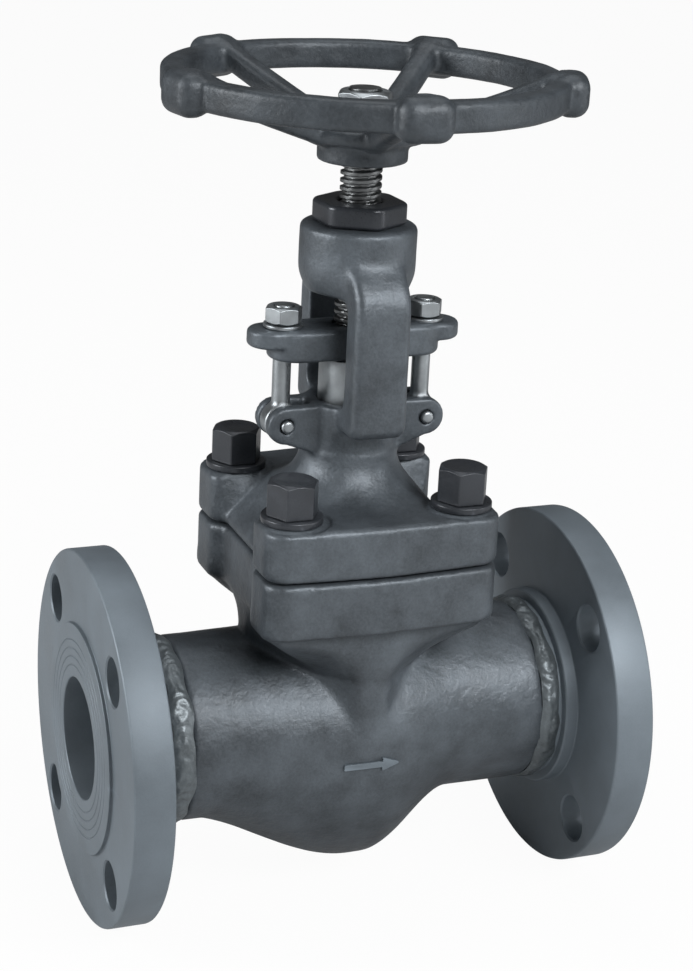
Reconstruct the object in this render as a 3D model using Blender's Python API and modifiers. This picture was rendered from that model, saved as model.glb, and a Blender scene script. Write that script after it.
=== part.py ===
"""Flanged globe valve with an outside screw and yoke, as separate solid pieces.

Metres, +Z up. The origin is where the flow axis (X) crosses the stem axis (Z).
Flow enters at -X and leaves at +X. The front is -Y. The valve is drawn fully open.
"""

import math

import bmesh
import bpy
from mathutils import Matrix, Vector

MM = 0.001

# Clearance left between two pieces that touch on the real valve
GAP = 0.3 * MM

# Line flanges: nominal size 2 inch, class 150
FACE_X = 108.5 * MM
RAISED_FACE_H = 1.6 * MM
FLANGE_R = 75.0 * MM
FLANGE_T = 16.2 * MM
FLANGE_EDGE = 1.0 * MM
LINE_HOLE_R = 9.5 * MM
LINE_HOLES = 4
HOLE_INSET = 14.65 * MM
HOLE_TO_RAISED_FACE = 4.85 * MM
HUB_STEP = 3.8 * MM
HUB_L = 5.5 * MM
HUB_EDGE = 1.2 * MM

# Butt welds that join the flanges to the body
INLET_END_X = 72.0 * MM
OUTLET_END_X = 76.5 * MM
WELD_W = 6.5 * MM
WELD_CROWN = 1.3 * MM
WELD_PREP = 2.0 * MM
ROOT_LAND = 1.5 * MM

# Forged body
PIPE_R = 37.2 * MM
PIPE_WALL = 12.9 * MM
BELLY_DEPTH = 64.0 * MM
BELLY_STEP = 4.8 * MM
BELLY_START_X = -62.0 * MM
BELLY_LOW_X = (3.0 * MM, 8.0 * MM)
BELLY_END_X = 43.0 * MM
NECK_STEP = 4.3 * MM
NECK_CORNER_STEP = 9.6 * MM
NECK_DEPTH_STEP = 6.3 * MM
NECK_FOOT_Z = -4.0 * MM
NECK_SPREAD_Z = 18.0 * MM
BODY_FLANGE_Z = 53.0 * MM
JOINT_Z = 76.0 * MM
JOINT_GAP = 0.8 * MM

# Four-lobed outline that the body flange and the bonnet share
PLATE_SIDE_X = 48.0 * MM
PLATE_FRONT_Y = 50.6 * MM
PLATE_FRONT_BOW = 2.6 * MM
PLATE_CORNER_R = 8.0 * MM
RECESS_DEPTH = 5.0 * MM
RECESS_HALF_W = 21.0 * MM
RECESS_RAMP = 5.0 * MM
PLATE_EDGE = 1.8 * MM

# Seat, chamber and passages
SEAT_Z = 6.0 * MM
SEAT_PROUD = 1.5 * MM
SEAT_RING_H = 9.0 * MM
SEAT_RING_WALL = 4.0 * MM
SEAT_CHAMFER = 1.5 * MM
PORT_R = 17.0 * MM
CHAMBER_R = 24.5 * MM
PASSAGE_R = 16.0 * MM
PASSAGE_BEND_X = 60.0 * MM
UNDERSEAT_X = -11.0 * MM
UNDERSEAT_DEPTH = 36.0 * MM
OVERSEAT_X = 22.0 * MM
OVERSEAT_RISE = 22.0 * MM

# Flow arrow forged on the front and back of the body
ARROW_L = 24.0 * MM
ARROW_SHAFT_H = 2.6 * MM
ARROW_HEAD_L = 8.0 * MM
ARROW_HEAD_H = 6.0 * MM
ARROW_Z = -6.0 * MM
ARROW_PROUD = 0.9 * MM
ARROW_ROOT = 3.0 * MM

# Body gasket
GASKET_IN_R = 27.0 * MM
GASKET_OUT_R = 33.5 * MM
GASKET_T = 3.5 * MM

# Bonnet
BONNET_T = 20.6 * MM
SPIGOT_L = 4.4 * MM
BELL_FOOT_R = 37.0 * MM
BELL_H = 18.0 * MM
BOX_OUT_R = 19.5 * MM
BOX_TOP_Z = 134.0 * MM
BOX_FLOOR_Z = 106.0 * MM
SIDE_SLOPE_IN_X = 26.0 * MM
SIDE_SLOPE_DROP = 16.0 * MM

# Yoke: two arms in front of and behind the stem, and the head above
ARM_OUT_Y = 32.0 * MM
ARM_IN_Y = 20.0 * MM
ARM_HALF_W = 11.3 * MM
ARM_EDGE = 3.0 * MM
ARM_FOOT_Z = 127.0 * MM
ARM_FOOT_R = 6.0 * MM
HEAD_TOP_Z = 203.2 * MM
HEAD_R = 22.5 * MM
HEAD_H = 26.2 * MM
HEAD_SKIRT_H = 7.0 * MM
HEAD_SKIRT_IN = 3.0 * MM
HEAD_EDGE = 2.0 * MM
SHOULDER_H = 14.0 * MM

# Ears, eyebolts and their pins
EYEBOLT_X = 29.1 * MM
PIN_Z = 126.0 * MM
PIN_R = 2.6 * MM
PIN_PROUD = 1.5 * MM
EAR_R = 7.5 * MM
EAR_FOOT = 12.0 * MM
EAR_T = 5.0 * MM
EAR_ARC = (95, -65)
EYE_T = 7.4 * MM
EYE_R = 7.2 * MM
EYEBOLT_R = 3.6 * MM
EYEBOLT_PAST_NUT = 0.6 * MM

# Gland
GLAND_BOTTOM_Z = 153.0 * MM
GLAND_T = 10.6 * MM
GLAND_TIP_T = 7.0 * MM
GLAND_HALF_L = 43.5 * MM
GLAND_HALF_W = 11.0 * MM
GLAND_TIP_X = 33.5 * MM
GLAND_EDGE = 1.2 * MM
GLAND_HOLE_CLEAR = 0.5 * MM
GLAND_NUT_FLATS = 13.0 * MM
GLAND_NUT_H = 6.5 * MM
GLAND_WASHER_R = 7.8 * MM
GLAND_WASHER_T = 1.3 * MM
FOLLOWER_R = 13.0 * MM
FOLLOWER_IN_BOX = 2.0 * MM
PACKING_RINGS = 5

# Stem and yoke nut
STEM_R = 8.0 * MM
STEM_LOW_R = 9.6 * MM
STEM_HEAD_R = 11.6 * MM
STEM_HEAD_H = 5.4 * MM
BACKSEAT_GAP = 0.4 * MM
STEM_SQUARE = 11.0 * MM
STEM_TOP_R = 6.0 * MM
YOKE_NUT_FLATS = 33.0 * MM
YOKE_NUT_FLANGE_R = 17.6 * MM
YOKE_NUT_FLANGE_H = 8.0 * MM
YOKE_NUT_CHAMFER = 1.2 * MM
YOKE_NUT_R = 13.0 * MM
YOKE_NUT_TURN = math.radians(3)
LIFT = 15.0 * MM
CLOSED_WHEEL_GAP = 1.5 * MM

# Disc and disc nut
DISC_R = 20.3 * MM
DISC_H = 20.0 * MM
DISC_FLOOR = 5.7 * MM
DISC_CHAMFER = 3.0 * MM
DISC_NUT_R = 14.7 * MM
DISC_NUT_FLATS = 28.0 * MM
DISC_NUT_HEX_H = 6.0 * MM

# Bonnet bolts and washers
BOLT_X = 35.0 * MM
BOLT_Y = 33.5 * MM
BOLT_R = 6.0 * MM
BOLT_HOLE_CLEAR = 0.6 * MM
BOLT_FLATS = 18.0 * MM
BOLT_HEAD_H = 13.5 * MM
BOLT_CHAMFER = 1.6 * MM
BOLT_L = 40.0 * MM
TAPPED_PAST_BOLT = 3.0 * MM
WASHER_R = 12.0 * MM
WASHER_T = 2.5 * MM

# Handwheel with its washer and nut
WHEEL_HUB_R = 17.3 * MM
WHEEL_HUB_H = 13.0 * MM
WHEEL_HUB_EDGE = 1.5 * MM
RIM_R = 72.0 * MM
RIM_HALF_W = 4.6 * MM
RIM_HALF_H = 5.6 * MM
RIM_RISE = 28.3 * MM
SPOKES = 5
SPOKE_PHASE = math.radians(-24.2)
SPOKE_W = 10.6 * MM
SPOKE_T = 7.0 * MM
SPOKE_HUB_RISE = 3.5 * MM
SPOKE_SLOPE = 0.28
KNOB_PROUD = 4.8 * MM
KNOB_HALF_OUT = 7.0 * MM
KNOB_HALF_W = 8.4 * MM
KNOB_HALF_H = 8.4 * MM
WHEEL_NUT_FLATS = 19.0 * MM
WHEEL_NUT_H = 10.0 * MM
WHEEL_NUT_CHAMFER = 1.6 * MM
WHEEL_WASHER_R = 12.0 * MM
WHEEL_WASHER_T = 2.0 * MM

# Facets on round pieces
LARGE_STEPS = 32
MIDDLE_STEPS = 20
SMALL_STEPS = 12
RIM_STEPS = 40
DUCT_RESOLUTION = 8

# Heights and stations that follow from the sizes above
FLANGE_BACK_X = FACE_X - RAISED_FACE_H - FLANGE_T
BOLT_CIRCLE_R = FLANGE_R - HOLE_INSET
RAISED_FACE_R = BOLT_CIRCLE_R - LINE_HOLE_R - HOLE_TO_RAISED_FACE
BORE_R = PIPE_R - PIPE_WALL
HUB_R = PIPE_R + HUB_STEP
BELLY_HALF_W = PIPE_R + BELLY_STEP
NECK_R = PIPE_R + NECK_STEP
NECK_CORNER = PIPE_R + NECK_CORNER_STEP
NECK_HALF_DEPTH = PIPE_R + NECK_DEPTH_STEP
BODY_TOP_Z = JOINT_Z - JOINT_GAP / 2
BONNET_BOTTOM_Z = JOINT_Z + JOINT_GAP / 2
BONNET_TOP_Z = BONNET_BOTTOM_Z + BONNET_T
SPIGOT_R = CHAMBER_R - GAP
SPIGOT_Z = BONNET_BOTTOM_Z - SPIGOT_L
SEAT_RING_R = PORT_R + SEAT_RING_WALL
CHAMBER_FLOOR_Z = SEAT_Z - SEAT_PROUD
STEM_BORE_R = STEM_R + GAP
BOX_BORE_R = FOLLOWER_R + GAP
HEAD_BOTTOM_Z = HEAD_TOP_Z - HEAD_H
BOLT_HOLE_R = BOLT_R + BOLT_HOLE_CLEAR
WASHER_Z = BONNET_TOP_Z + GAP
BOLT_HEAD_Z = WASHER_Z + WASHER_T + GAP
BOLT_END_Z = BOLT_HEAD_Z - BOLT_L
GLAND_TOP_Z = GLAND_BOTTOM_Z + GLAND_T
GLAND_WASHER_Z = GLAND_TOP_Z + GAP
GLAND_NUT_Z = GLAND_WASHER_Z + GLAND_WASHER_T + GAP
EYEBOLT_TOP_Z = GLAND_NUT_Z + GLAND_NUT_H + EYEBOLT_PAST_NUT
FOLLOWER_Z = BOX_TOP_Z - FOLLOWER_IN_BOX
YOKE_NUT_FLANGE_Z = HEAD_TOP_Z + GAP
YOKE_NUT_TOP_Z = YOKE_NUT_FLANGE_Z + YOKE_NUT_FLANGE_H
WHEEL_Z = YOKE_NUT_TOP_Z + LIFT + CLOSED_WHEEL_GAP
KNOB_R = RIM_R + KNOB_PROUD
WHEEL_HUB_TOP_Z = WHEEL_Z + WHEEL_HUB_H
WHEEL_WASHER_Z = WHEEL_HUB_TOP_Z + GAP
WHEEL_NUT_Z = WHEEL_WASHER_Z + WHEEL_WASHER_T + GAP
STEM_TOP_Z = WHEEL_NUT_Z + WHEEL_NUT_H + 1.0 * MM
DISC_Z = SEAT_Z + LIFT + GAP
DISC_TOP_Z = DISC_Z + DISC_H
STEM_FOOT_Z = DISC_Z + DISC_FLOOR + GAP
DISC_NUT_Z = STEM_FOOT_Z + STEM_HEAD_H + GAP
BACKSEAT_Z = SPIGOT_Z + (STEM_LOW_R - STEM_R)


def clear_scene():
    for obj in list(bpy.data.objects):
        bpy.data.objects.remove(obj, do_unlink=True)


def new_collection(name):
    group = bpy.data.collections.new(name)
    bpy.context.scene.collection.children.link(group)
    return group


def new_material(name, colour, roughness, metallic):
    material = bpy.data.materials.new(name)
    material.use_nodes = True
    shader = material.node_tree.nodes["Principled BSDF"]
    shader.inputs["Base Color"].default_value = (*colour, 1.0)
    shader.inputs["Roughness"].default_value = roughness
    shader.inputs["Metallic"].default_value = metallic
    return material


clear_scene()
PARTS = new_collection("globe_valve")
SHAPES = new_collection("globe_valve_cutters")
FORGED = new_material("forged_grey", (0.09, 0.10, 0.115), 0.5, 0.6)
MACHINED = new_material("machined_grey", (0.16, 0.18, 0.20), 0.4, 0.7)
CAST = new_material("cast_grey", (0.10, 0.11, 0.12), 0.55, 0.5)
BLACKED = new_material("blackened_steel", (0.03, 0.032, 0.036), 0.45, 0.6)
BRIGHT = new_material("bright_zinc", (0.62, 0.64, 0.66), 0.3, 0.9)
STEEL = new_material("stainless_steel", (0.5, 0.5, 0.5), 0.3, 1.0)
GRAPHITE = new_material("graphite", (0.05, 0.05, 0.055), 0.7, 0.2)
WELD = new_material("weld_metal", (0.2, 0.22, 0.24), 0.45, 0.7)


def mesh_object(name, mesh):
    """An object that isn't in the scene yet; it becomes a part or a shape."""
    return bpy.data.objects.new(name, mesh)


def part(obj, material, parent=None):
    """Puts an object among the parts, with its material and its carrier."""
    obj.data.materials.append(material)
    PARTS.objects.link(obj)
    obj.parent = parent
    return obj


def shape(obj):
    """Puts an object among the shapes that cut or join parts and don't render."""
    SHAPES.objects.link(obj)
    obj.hide_render = True
    obj.display_type = "WIRE"
    return obj


def carrier(name, location):
    """An empty on the axis of a joint, which carries the pieces that move together."""
    empty = bpy.data.objects.new(name, None)
    empty.location = location
    empty.empty_display_size = STEM_R
    PARTS.objects.link(empty)
    return empty


def combine(target, other, operation):
    """A Boolean between a part and a shape, by the exact solver."""
    modifier = target.modifiers.new(f"{operation.lower()} {other.name}", "BOOLEAN")
    modifier.operation = operation
    modifier.object = shape(other)
    modifier.solver = "EXACT"


def cut(target, other):
    combine(target, other, "DIFFERENCE")


def join(target, other):
    combine(target, other, "UNION")


def turned(name, profile, steps=MIDDLE_STEPS):
    """A turned piece about local Z.

    The profile is a list of (radius, height) that runs top to bottom on the outer side.
    It closes on itself, or starts and ends on the axis.
    """
    on_axis = profile[0][0] == 0
    edges = [(i, i + 1) for i in range(len(profile) - 1)]
    if not on_axis:
        edges.append((len(profile) - 1, 0))
    mesh = bpy.data.meshes.new(name)
    mesh.from_pydata([(radius, 0, height) for radius, height in profile], edges, [])
    obj = mesh_object(name, mesh)
    screw = obj.modifiers.new("turn", "SCREW")
    screw.steps = screw.render_steps = steps
    screw.use_merge_vertices = True
    screw.merge_threshold = 0.00001
    screw.use_smooth_shade = True
    return obj


def rod(name, radius, bottom, top, steps=MIDDLE_STEPS):
    """A solid round bar about local Z."""
    return turned(name, [(0, top), (radius, top), (radius, bottom), (0, bottom)], steps)


def ring(name, outer, inner, bottom, top, steps=MIDDLE_STEPS):
    """A plain ring of rectangular section about local Z."""
    return turned(name, [(outer, top), (outer, bottom), (inner, bottom), (inner, top)], steps)


def arc(centre, radius, start, end, count):
    """Points on an arc in a plane, from one angle to another in degrees."""
    points = []
    for i in range(count + 1):
        angle = math.radians(start + (end - start) * i / count)
        points.append((centre[0] + radius * math.cos(angle), centre[1] + radius * math.sin(angle)))
    return points


def plate(name, outline, thickness):
    """A flat piece: an outline in local XY, extruded to both sides of it."""
    curve = bpy.data.curves.new(name, "CURVE")
    curve.dimensions = "2D"
    curve.fill_mode = "BOTH"
    curve.extrude = thickness / 2
    spline = curve.splines.new("POLY")
    spline.points.add(len(outline) - 1)
    for point, (x, y) in zip(spline.points, outline):
        point.co = (x, y, 0, 1)
    spline.use_cyclic_u = True
    return solid_from_curve(name, curve)


def duct(name, stations):
    """A round passage of changing size along a path in the XZ plane of (x, z, radius)."""
    curve = bpy.data.curves.new(name, "CURVE")
    curve.dimensions = "3D"
    curve.bevel_depth = stations[0][2]
    curve.bevel_resolution = DUCT_RESOLUTION
    curve.use_fill_caps = True
    spline = curve.splines.new("POLY")
    spline.points.add(len(stations) - 1)
    for point, (x, z, radius) in zip(spline.points, stations):
        point.co = (x, 0, z, 1)
        point.radius = radius / stations[0][2]
    return solid_from_curve(name, curve)


def solid_from_curve(name, curve):
    """The closed mesh of a curve, with its caps welded on."""
    source = bpy.data.objects.new(name, curve)
    bpy.context.scene.collection.objects.link(source)
    depsgraph = bpy.context.evaluated_depsgraph_get()
    mesh = bpy.data.meshes.new_from_object(source.evaluated_get(depsgraph))
    bpy.data.objects.remove(source)
    bm = bmesh.new()
    bm.from_mesh(mesh)
    bmesh.ops.remove_doubles(bm, verts=bm.verts, dist=0.00001)
    bmesh.ops.recalc_face_normals(bm, faces=bm.faces)
    bm.to_mesh(mesh)
    bm.free()
    return mesh_object(name, mesh)


def loft(name, rings, smooth=True):
    """A solid through closed rings that have the same number of points."""
    bm = bmesh.new()
    rows = [[bm.verts.new(point) for point in points] for points in rings]
    count = len(rows[0])
    for low, high in zip(rows, rows[1:]):
        for i in range(count):
            j = (i + 1) % count
            bm.faces.new((low[i], low[j], high[j], high[i]))
    bm.faces.new(reversed(rows[0]))
    bm.faces.new(rows[-1])
    bmesh.ops.recalc_face_normals(bm, faces=bm.faces)
    mesh = bpy.data.meshes.new(name)
    bm.to_mesh(mesh)
    bm.free()
    if smooth:
        mesh.shade_smooth()
        mesh.set_sharp_from_angle(angle=math.radians(35))
    return mesh_object(name, mesh)


def box(name, low, high):
    """A box between two corners."""
    bm = bmesh.new()
    bmesh.ops.create_cube(bm, size=1.0)
    size = [b - a for a, b in zip(low, high)]
    middle = [(a + b) / 2 for a, b in zip(low, high)]
    bmesh.ops.transform(bm, verts=bm.verts, matrix=Matrix.Translation(middle) @ Matrix.Diagonal((*size, 1)))
    mesh = bpy.data.meshes.new(name)
    bm.to_mesh(mesh)
    bm.free()
    return mesh_object(name, mesh)


def bevelled(obj, width, segments=1):
    """Rounds the sharp edges of a piece."""
    modifier = obj.modifiers.new("rounded edges", "BEVEL")
    modifier.width = width
    modifier.segments = segments
    modifier.limit_method = "ANGLE"
    modifier.angle_limit = math.radians(50)
    return obj


def hex_ring(flats, height, scale=1.0):
    """The six corners of a hexagon across flats, with a flat facing +Y."""
    corner = flats / math.sqrt(3) * scale
    return [(corner * math.cos(math.radians(60 * i)), corner * math.sin(math.radians(60 * i)), height)
            for i in range(6)]


def hex_block(name, flats, bottom, top, chamfer):
    """A hexagonal block whose top corners are taken off."""
    shrink = 1 - chamfer / flats
    rings = [hex_ring(flats, bottom), hex_ring(flats, top - chamfer / 2), hex_ring(flats, top, shrink)]
    return loft(name, rings, smooth=False)


def hex_nut(name, flats, bottom, top, bore_radius, chamfer):
    """A hexagonal nut with a plain bore."""
    nut = hex_block(name, flats, bottom, top, chamfer)
    past = 1.0 * MM
    cut(nut, rod(f"{name} bore", bore_radius, bottom - past, top + past, SMALL_STEPS))
    return nut


def plate_outline():
    """The four-lobed outline of the body flange and the bonnet, anticlockwise from +X."""
    side = PLATE_SIDE_X
    recess = side - RECESS_DEPTH
    corner = PLATE_CORNER_R
    corner_y = PLATE_FRONT_Y - PLATE_FRONT_BOW
    quarter = [(recess, 0), (recess, RECESS_HALF_W), (side, RECESS_HALF_W + RECESS_RAMP)]
    quarter += arc((side - corner, corner_y - corner), corner, 0, 90, 4)
    for share in (0.5, 0.0):
        x = (side - corner) * share
        quarter.append((x, PLATE_FRONT_Y - PLATE_FRONT_BOW * share ** 2))
    left = [(-x, y) for x, y in reversed(quarter[:-1])]
    front = [(x, -y) for x, y in reversed((quarter + left)[1:-1])]
    return quarter + left + front


def belly_share(x):
    """How far the body has swelled at a station along the flow, from 0 to 1."""
    low_start, low_end = BELLY_LOW_X
    if x <= BELLY_START_X or x >= BELLY_END_X:
        return 0.0
    if x < low_start:
        wave = math.sin(math.pi / 2 * (x - BELLY_START_X) / (low_start - BELLY_START_X))
        return (wave + wave ** 2) / 2
    if x > low_end:
        wave = math.sin(math.pi / 2 * (BELLY_END_X - x) / (BELLY_END_X - low_end))
        return wave ** 2
    return 1.0


def body_ring(x, half_width, height, depth, count=30):
    """A section of the forged body across the flow: round above, deeper below."""
    points = []
    for i in range(count):
        angle = 2 * math.pi * i / count
        across, up = math.cos(angle), math.sin(angle)
        points.append((x, half_width * across, (height if up > 0 else depth) * up))
    return points


def body_run():
    """The horizontal run of the body with its belly and its two ends prepared for welding."""
    land_r = BORE_R + ROOT_LAND
    rings = [body_ring(-INLET_END_X - WELD_PREP, land_r, land_r, land_r),
             body_ring(-INLET_END_X, PIPE_R, PIPE_R, PIPE_R)]
    stations = 13
    for i in range(stations + 1):
        x = BELLY_START_X + (BELLY_END_X - BELLY_START_X) * i / stations
        share = belly_share(x)
        half_width = PIPE_R + (BELLY_HALF_W - PIPE_R) * share
        depth = PIPE_R + (BELLY_DEPTH - PIPE_R) * share
        rings.append(body_ring(x, half_width, PIPE_R, depth))
    rings += [body_ring(OUTLET_END_X, PIPE_R, PIPE_R, PIPE_R),
              body_ring(OUTLET_END_X + WELD_PREP, land_r, land_r, land_r)]
    return loft("valve_body", rings)


def body_neck():
    """The neck that spreads from a four-cornered foot in the run to the four-lobed flange."""
    overlap = 4.0 * MM
    heights = [(NECK_FOOT_Z, 0.0), (NECK_SPREAD_Z, 0.0)]
    steps = 4
    for i in range(1, steps + 1):
        share = i / steps
        heights.append((NECK_SPREAD_Z + (BODY_FLANGE_Z - NECK_SPREAD_Z) * share, share ** 1.5))
    heights.append((BODY_FLANGE_Z + overlap, 1.0))
    inset = 1.0 - PLATE_EDGE / PLATE_SIDE_X
    rings = []
    for z, share in heights:
        points = []
        for x, y in plate_outline():
            foot = min(NECK_R / math.hypot(x, y), NECK_CORNER / (abs(x) + abs(y)))
            scale = (1 - share) * foot + share * inset
            depth = min(abs(y) * scale, NECK_HALF_DEPTH)
            points.append((x * scale, math.copysign(depth, y), z))
        rings.append(points)
    return loft("body neck", rings)


def lobed_plate(name, bottom, top):
    """The plate of the body flange or the bonnet between two heights."""
    slab = plate(name, plate_outline(), top - bottom)
    slab.location.z = (top + bottom) / 2
    return bevelled(slab, PLATE_EDGE)


def bolt_places():
    """The four bonnet bolts, named by where they stand when seen from the front."""
    return {"front_left": (-BOLT_X, -BOLT_Y), "front_right": (BOLT_X, -BOLT_Y),
            "back_left": (-BOLT_X, BOLT_Y), "back_right": (BOLT_X, BOLT_Y)}


def flow_arrow(name, side):
    """A raised arrow that points from inlet to outlet, on one side of the body."""
    tail, neck, tip = -ARROW_L / 2, ARROW_L / 2 - ARROW_HEAD_L, ARROW_L / 2
    shaft, head = ARROW_SHAFT_H / 2, ARROW_HEAD_H / 2
    outline = [(tail, -shaft), (neck, -shaft), (neck, -head), (tip, 0)]
    outline += [(neck, head), (neck, shaft), (tail, shaft)]
    arrow = plate(name, outline, ARROW_PROUD + ARROW_ROOT)
    arrow.rotation_euler.x = math.pi / 2
    surface = BELLY_HALF_W * math.sqrt(1 - (ARROW_Z / BELLY_DEPTH) ** 2)
    arrow.location = (0, side * (surface + (ARROW_PROUD - ARROW_ROOT) / 2), ARROW_Z)
    return arrow


def passage_stations(end_of_body, start_x, end_x, end_z):
    """Stations from the straight bore down or up to the seat, shrinking on the way."""
    steps = 5
    stations = [(end_of_body, 0, BORE_R)]
    for i in range(steps + 1):
        share = i / steps
        blend = math.sin(math.pi / 2 * share) ** 0.9
        radius = BORE_R + (PASSAGE_R - BORE_R) * min(1.0, 1.6 * share)
        stations.append((start_x + (end_x - start_x) * share, end_z * blend, radius))
    return stations


def make_valve_body():
    body = part(body_run(), FORGED)
    join(body, body_neck())
    join(body, lobed_plate("body flange", BODY_FLANGE_Z, BODY_TOP_Z))
    for name, side in (("front arrow", -1), ("back arrow", 1)):
        join(body, flow_arrow(name, side))

    past = 5.0 * MM
    cut(body, rod("chamber", CHAMBER_R, CHAMBER_FLOOR_Z, BODY_TOP_Z + past, LARGE_STEPS))
    seat_base_z = SEAT_Z - SEAT_RING_H
    underseat_z = -UNDERSEAT_DEPTH
    lower = passage_stations(-INLET_END_X - past, -PASSAGE_BEND_X, UNDERSEAT_X, underseat_z)
    lower.append((1.0 * MM, underseat_z, PASSAGE_R))
    cut(body, duct("inlet passage", lower))
    upper = passage_stations(OUTLET_END_X + past, PASSAGE_BEND_X, OVERSEAT_X, OVERSEAT_RISE)
    upper.append((2.0 * MM, OVERSEAT_RISE + 2.0 * MM, PASSAGE_R))
    cut(body, duct("outlet passage", upper))
    bowl = arc((0, underseat_z), PORT_R, 0, -90, 5)
    port = [(0, seat_base_z + past), (PORT_R, seat_base_z + past), *bowl[:-1], (0, underseat_z - PORT_R)]
    cut(body, rod("seat recess", SEAT_RING_R + GAP, seat_base_z - GAP, CHAMBER_FLOOR_Z + past))
    cut(body, turned("port", port, MIDDLE_STEPS))
    gasket_z = BONNET_BOTTOM_Z - GAP - GASKET_T
    cut(body, ring("gasket recess", GASKET_OUT_R + GAP, GASKET_IN_R - GAP, gasket_z - GAP,
                   BODY_TOP_Z + past, LARGE_STEPS))
    for place, (x, y) in bolt_places().items():
        hole = rod(f"tapped hole {place}", BOLT_R + GAP, BOLT_END_Z - TAPPED_PAST_BOLT, BODY_TOP_Z + past,
                   SMALL_STEPS)
        hole.location = (x, y, 0)
        cut(body, hole)


def make_line_flange(name, end_x, direction):
    """A line flange, made about local Z and laid along the flow, facing out of the valve."""
    plane = FACE_X - RAISED_FACE_H
    back = FLANGE_BACK_X
    hub_end = back - HUB_L
    neck_end = end_x + WELD_W + 2 * GAP
    profile = [
        (RAISED_FACE_R, FACE_X),
        (RAISED_FACE_R, plane),
        (FLANGE_R - FLANGE_EDGE, plane),
        (FLANGE_R, plane - FLANGE_EDGE),
        (FLANGE_R, back + FLANGE_EDGE),
        (FLANGE_R - FLANGE_EDGE, back),
        (HUB_R, back),
        (HUB_R, hub_end + HUB_EDGE),
        (HUB_R - HUB_EDGE, hub_end),
        (PIPE_R, hub_end),
        (PIPE_R, neck_end),
        (BORE_R + ROOT_LAND, neck_end - WELD_PREP),
        (BORE_R, neck_end - WELD_PREP),
        (BORE_R, FACE_X),
    ]
    flange = part(turned(name, profile, LARGE_STEPS), MACHINED)
    flange.rotation_euler.y = direction * math.pi / 2
    past = 1.0 * MM
    for i in range(LINE_HOLES):
        angle = 2 * math.pi * (i + 0.5) / LINE_HOLES
        hole = rod(f"{name} hole {i + 1}", LINE_HOLE_R, -plane - past, -back + past, SMALL_STEPS)
        hole.rotation_euler.y = -direction * math.pi / 2
        hole.location = (0, BOLT_CIRCLE_R * math.cos(angle), BOLT_CIRCLE_R * math.sin(angle))
        cut(flange, hole)


def make_weld(name, end_x, direction):
    """The ring of weld metal between a body end and its flange, with a crown outside."""
    low, high = end_x + GAP, end_x + GAP + WELD_W
    middle = (low + high) / 2
    shoulder = 0.7 * WELD_CROWN
    quarter = WELD_W / 4
    profile = [
        (PIPE_R, high),
        (PIPE_R + shoulder, middle + quarter),
        (PIPE_R + WELD_CROWN, middle),
        (PIPE_R + shoulder, middle - quarter),
        (PIPE_R, low),
        (BORE_R, low + WELD_PREP),
        (BORE_R, high - WELD_PREP),
    ]
    bead = part(turned(name, profile, LARGE_STEPS), WELD)
    bead.rotation_euler.y = direction * math.pi / 2


def make_seat_ring():
    base = SEAT_Z - SEAT_RING_H
    profile = [
        (SEAT_RING_R, SEAT_Z),
        (SEAT_RING_R, base),
        (PORT_R, base),
        (PORT_R, SEAT_Z - SEAT_CHAMFER),
        (PORT_R + SEAT_CHAMFER, SEAT_Z),
    ]
    part(turned("seat_ring", profile), STEEL)


def make_body_gasket():
    top = BONNET_BOTTOM_Z - GAP
    part(ring("body_gasket", GASKET_OUT_R, GASKET_IN_R, top - GASKET_T, top, LARGE_STEPS), GRAPHITE)


def bell_profile():
    """Outer side of the stuffing box, down to its flare on the bonnet plate, closed on the axis."""
    sunk = 3.0 * MM
    flare = []
    steps = 5
    for i in range(steps + 1):
        angle = math.pi / 2 * i / steps
        radius = BOX_OUT_R + (BELL_FOOT_R - BOX_OUT_R) * (1 - math.cos(angle))
        height = BONNET_TOP_Z + BELL_H * (1 - math.sin(angle))
        flare.append((radius, height))
    return [(0, BOX_TOP_Z), (BOX_OUT_R, BOX_TOP_Z), *flare,
            (BELL_FOOT_R, BONNET_TOP_Z - sunk), (0, BONNET_TOP_Z - sunk)]


def yoke_arm(name, side):
    """One yoke arm as an outline across the flow, from the box up to the head."""
    top = HEAD_BOTTOM_Z + SHOULDER_H
    shoulder_z = HEAD_BOTTOM_Z + 1.0 * MM
    inner_foot = BOX_BORE_R + 2.0 * MM
    inner_head = YOKE_NUT_R + 2.0 * MM
    foot = ARM_FOOT_Z + ARM_FOOT_R
    outline = [(inner_head, top), (HEAD_R - 2.0 * MM, top), (ARM_OUT_Y, shoulder_z)]
    outline += arc((ARM_OUT_Y - ARM_FOOT_R, foot), ARM_FOOT_R, 0, -90, 4)
    outline += [(inner_foot, ARM_FOOT_Z), (inner_foot, BOX_TOP_Z - 2.0 * MM)]
    outline += [(ARM_IN_Y, BOX_TOP_Z + 2.0 * MM), (ARM_IN_Y, HEAD_BOTTOM_Z - 3.0 * MM)]
    outline.append((inner_head, HEAD_BOTTOM_Z + 3.0 * MM))
    arm = plate(name, [(side * y, z) for y, z in outline], 2 * ARM_HALF_W)
    arm.rotation_euler = (math.pi / 2, 0, math.pi / 2)
    return bevelled(arm, ARM_EDGE, 2)


def ear(name, side, y):
    """One of the two plates that hold an eyebolt's pin."""
    root = BOX_OUT_R * 0.6
    outline = arc((EYEBOLT_X, PIN_Z), EAR_R, *EAR_ARC, 7)
    outline += [(root, PIN_Z - EAR_FOOT), (root, PIN_Z + EAR_R + 1.0 * MM)]
    lug = plate(name, [(side * x, z) for x, z in outline], EAR_T)
    lug.rotation_euler.x = math.pi / 2
    lug.location.y = y
    return lug


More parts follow.
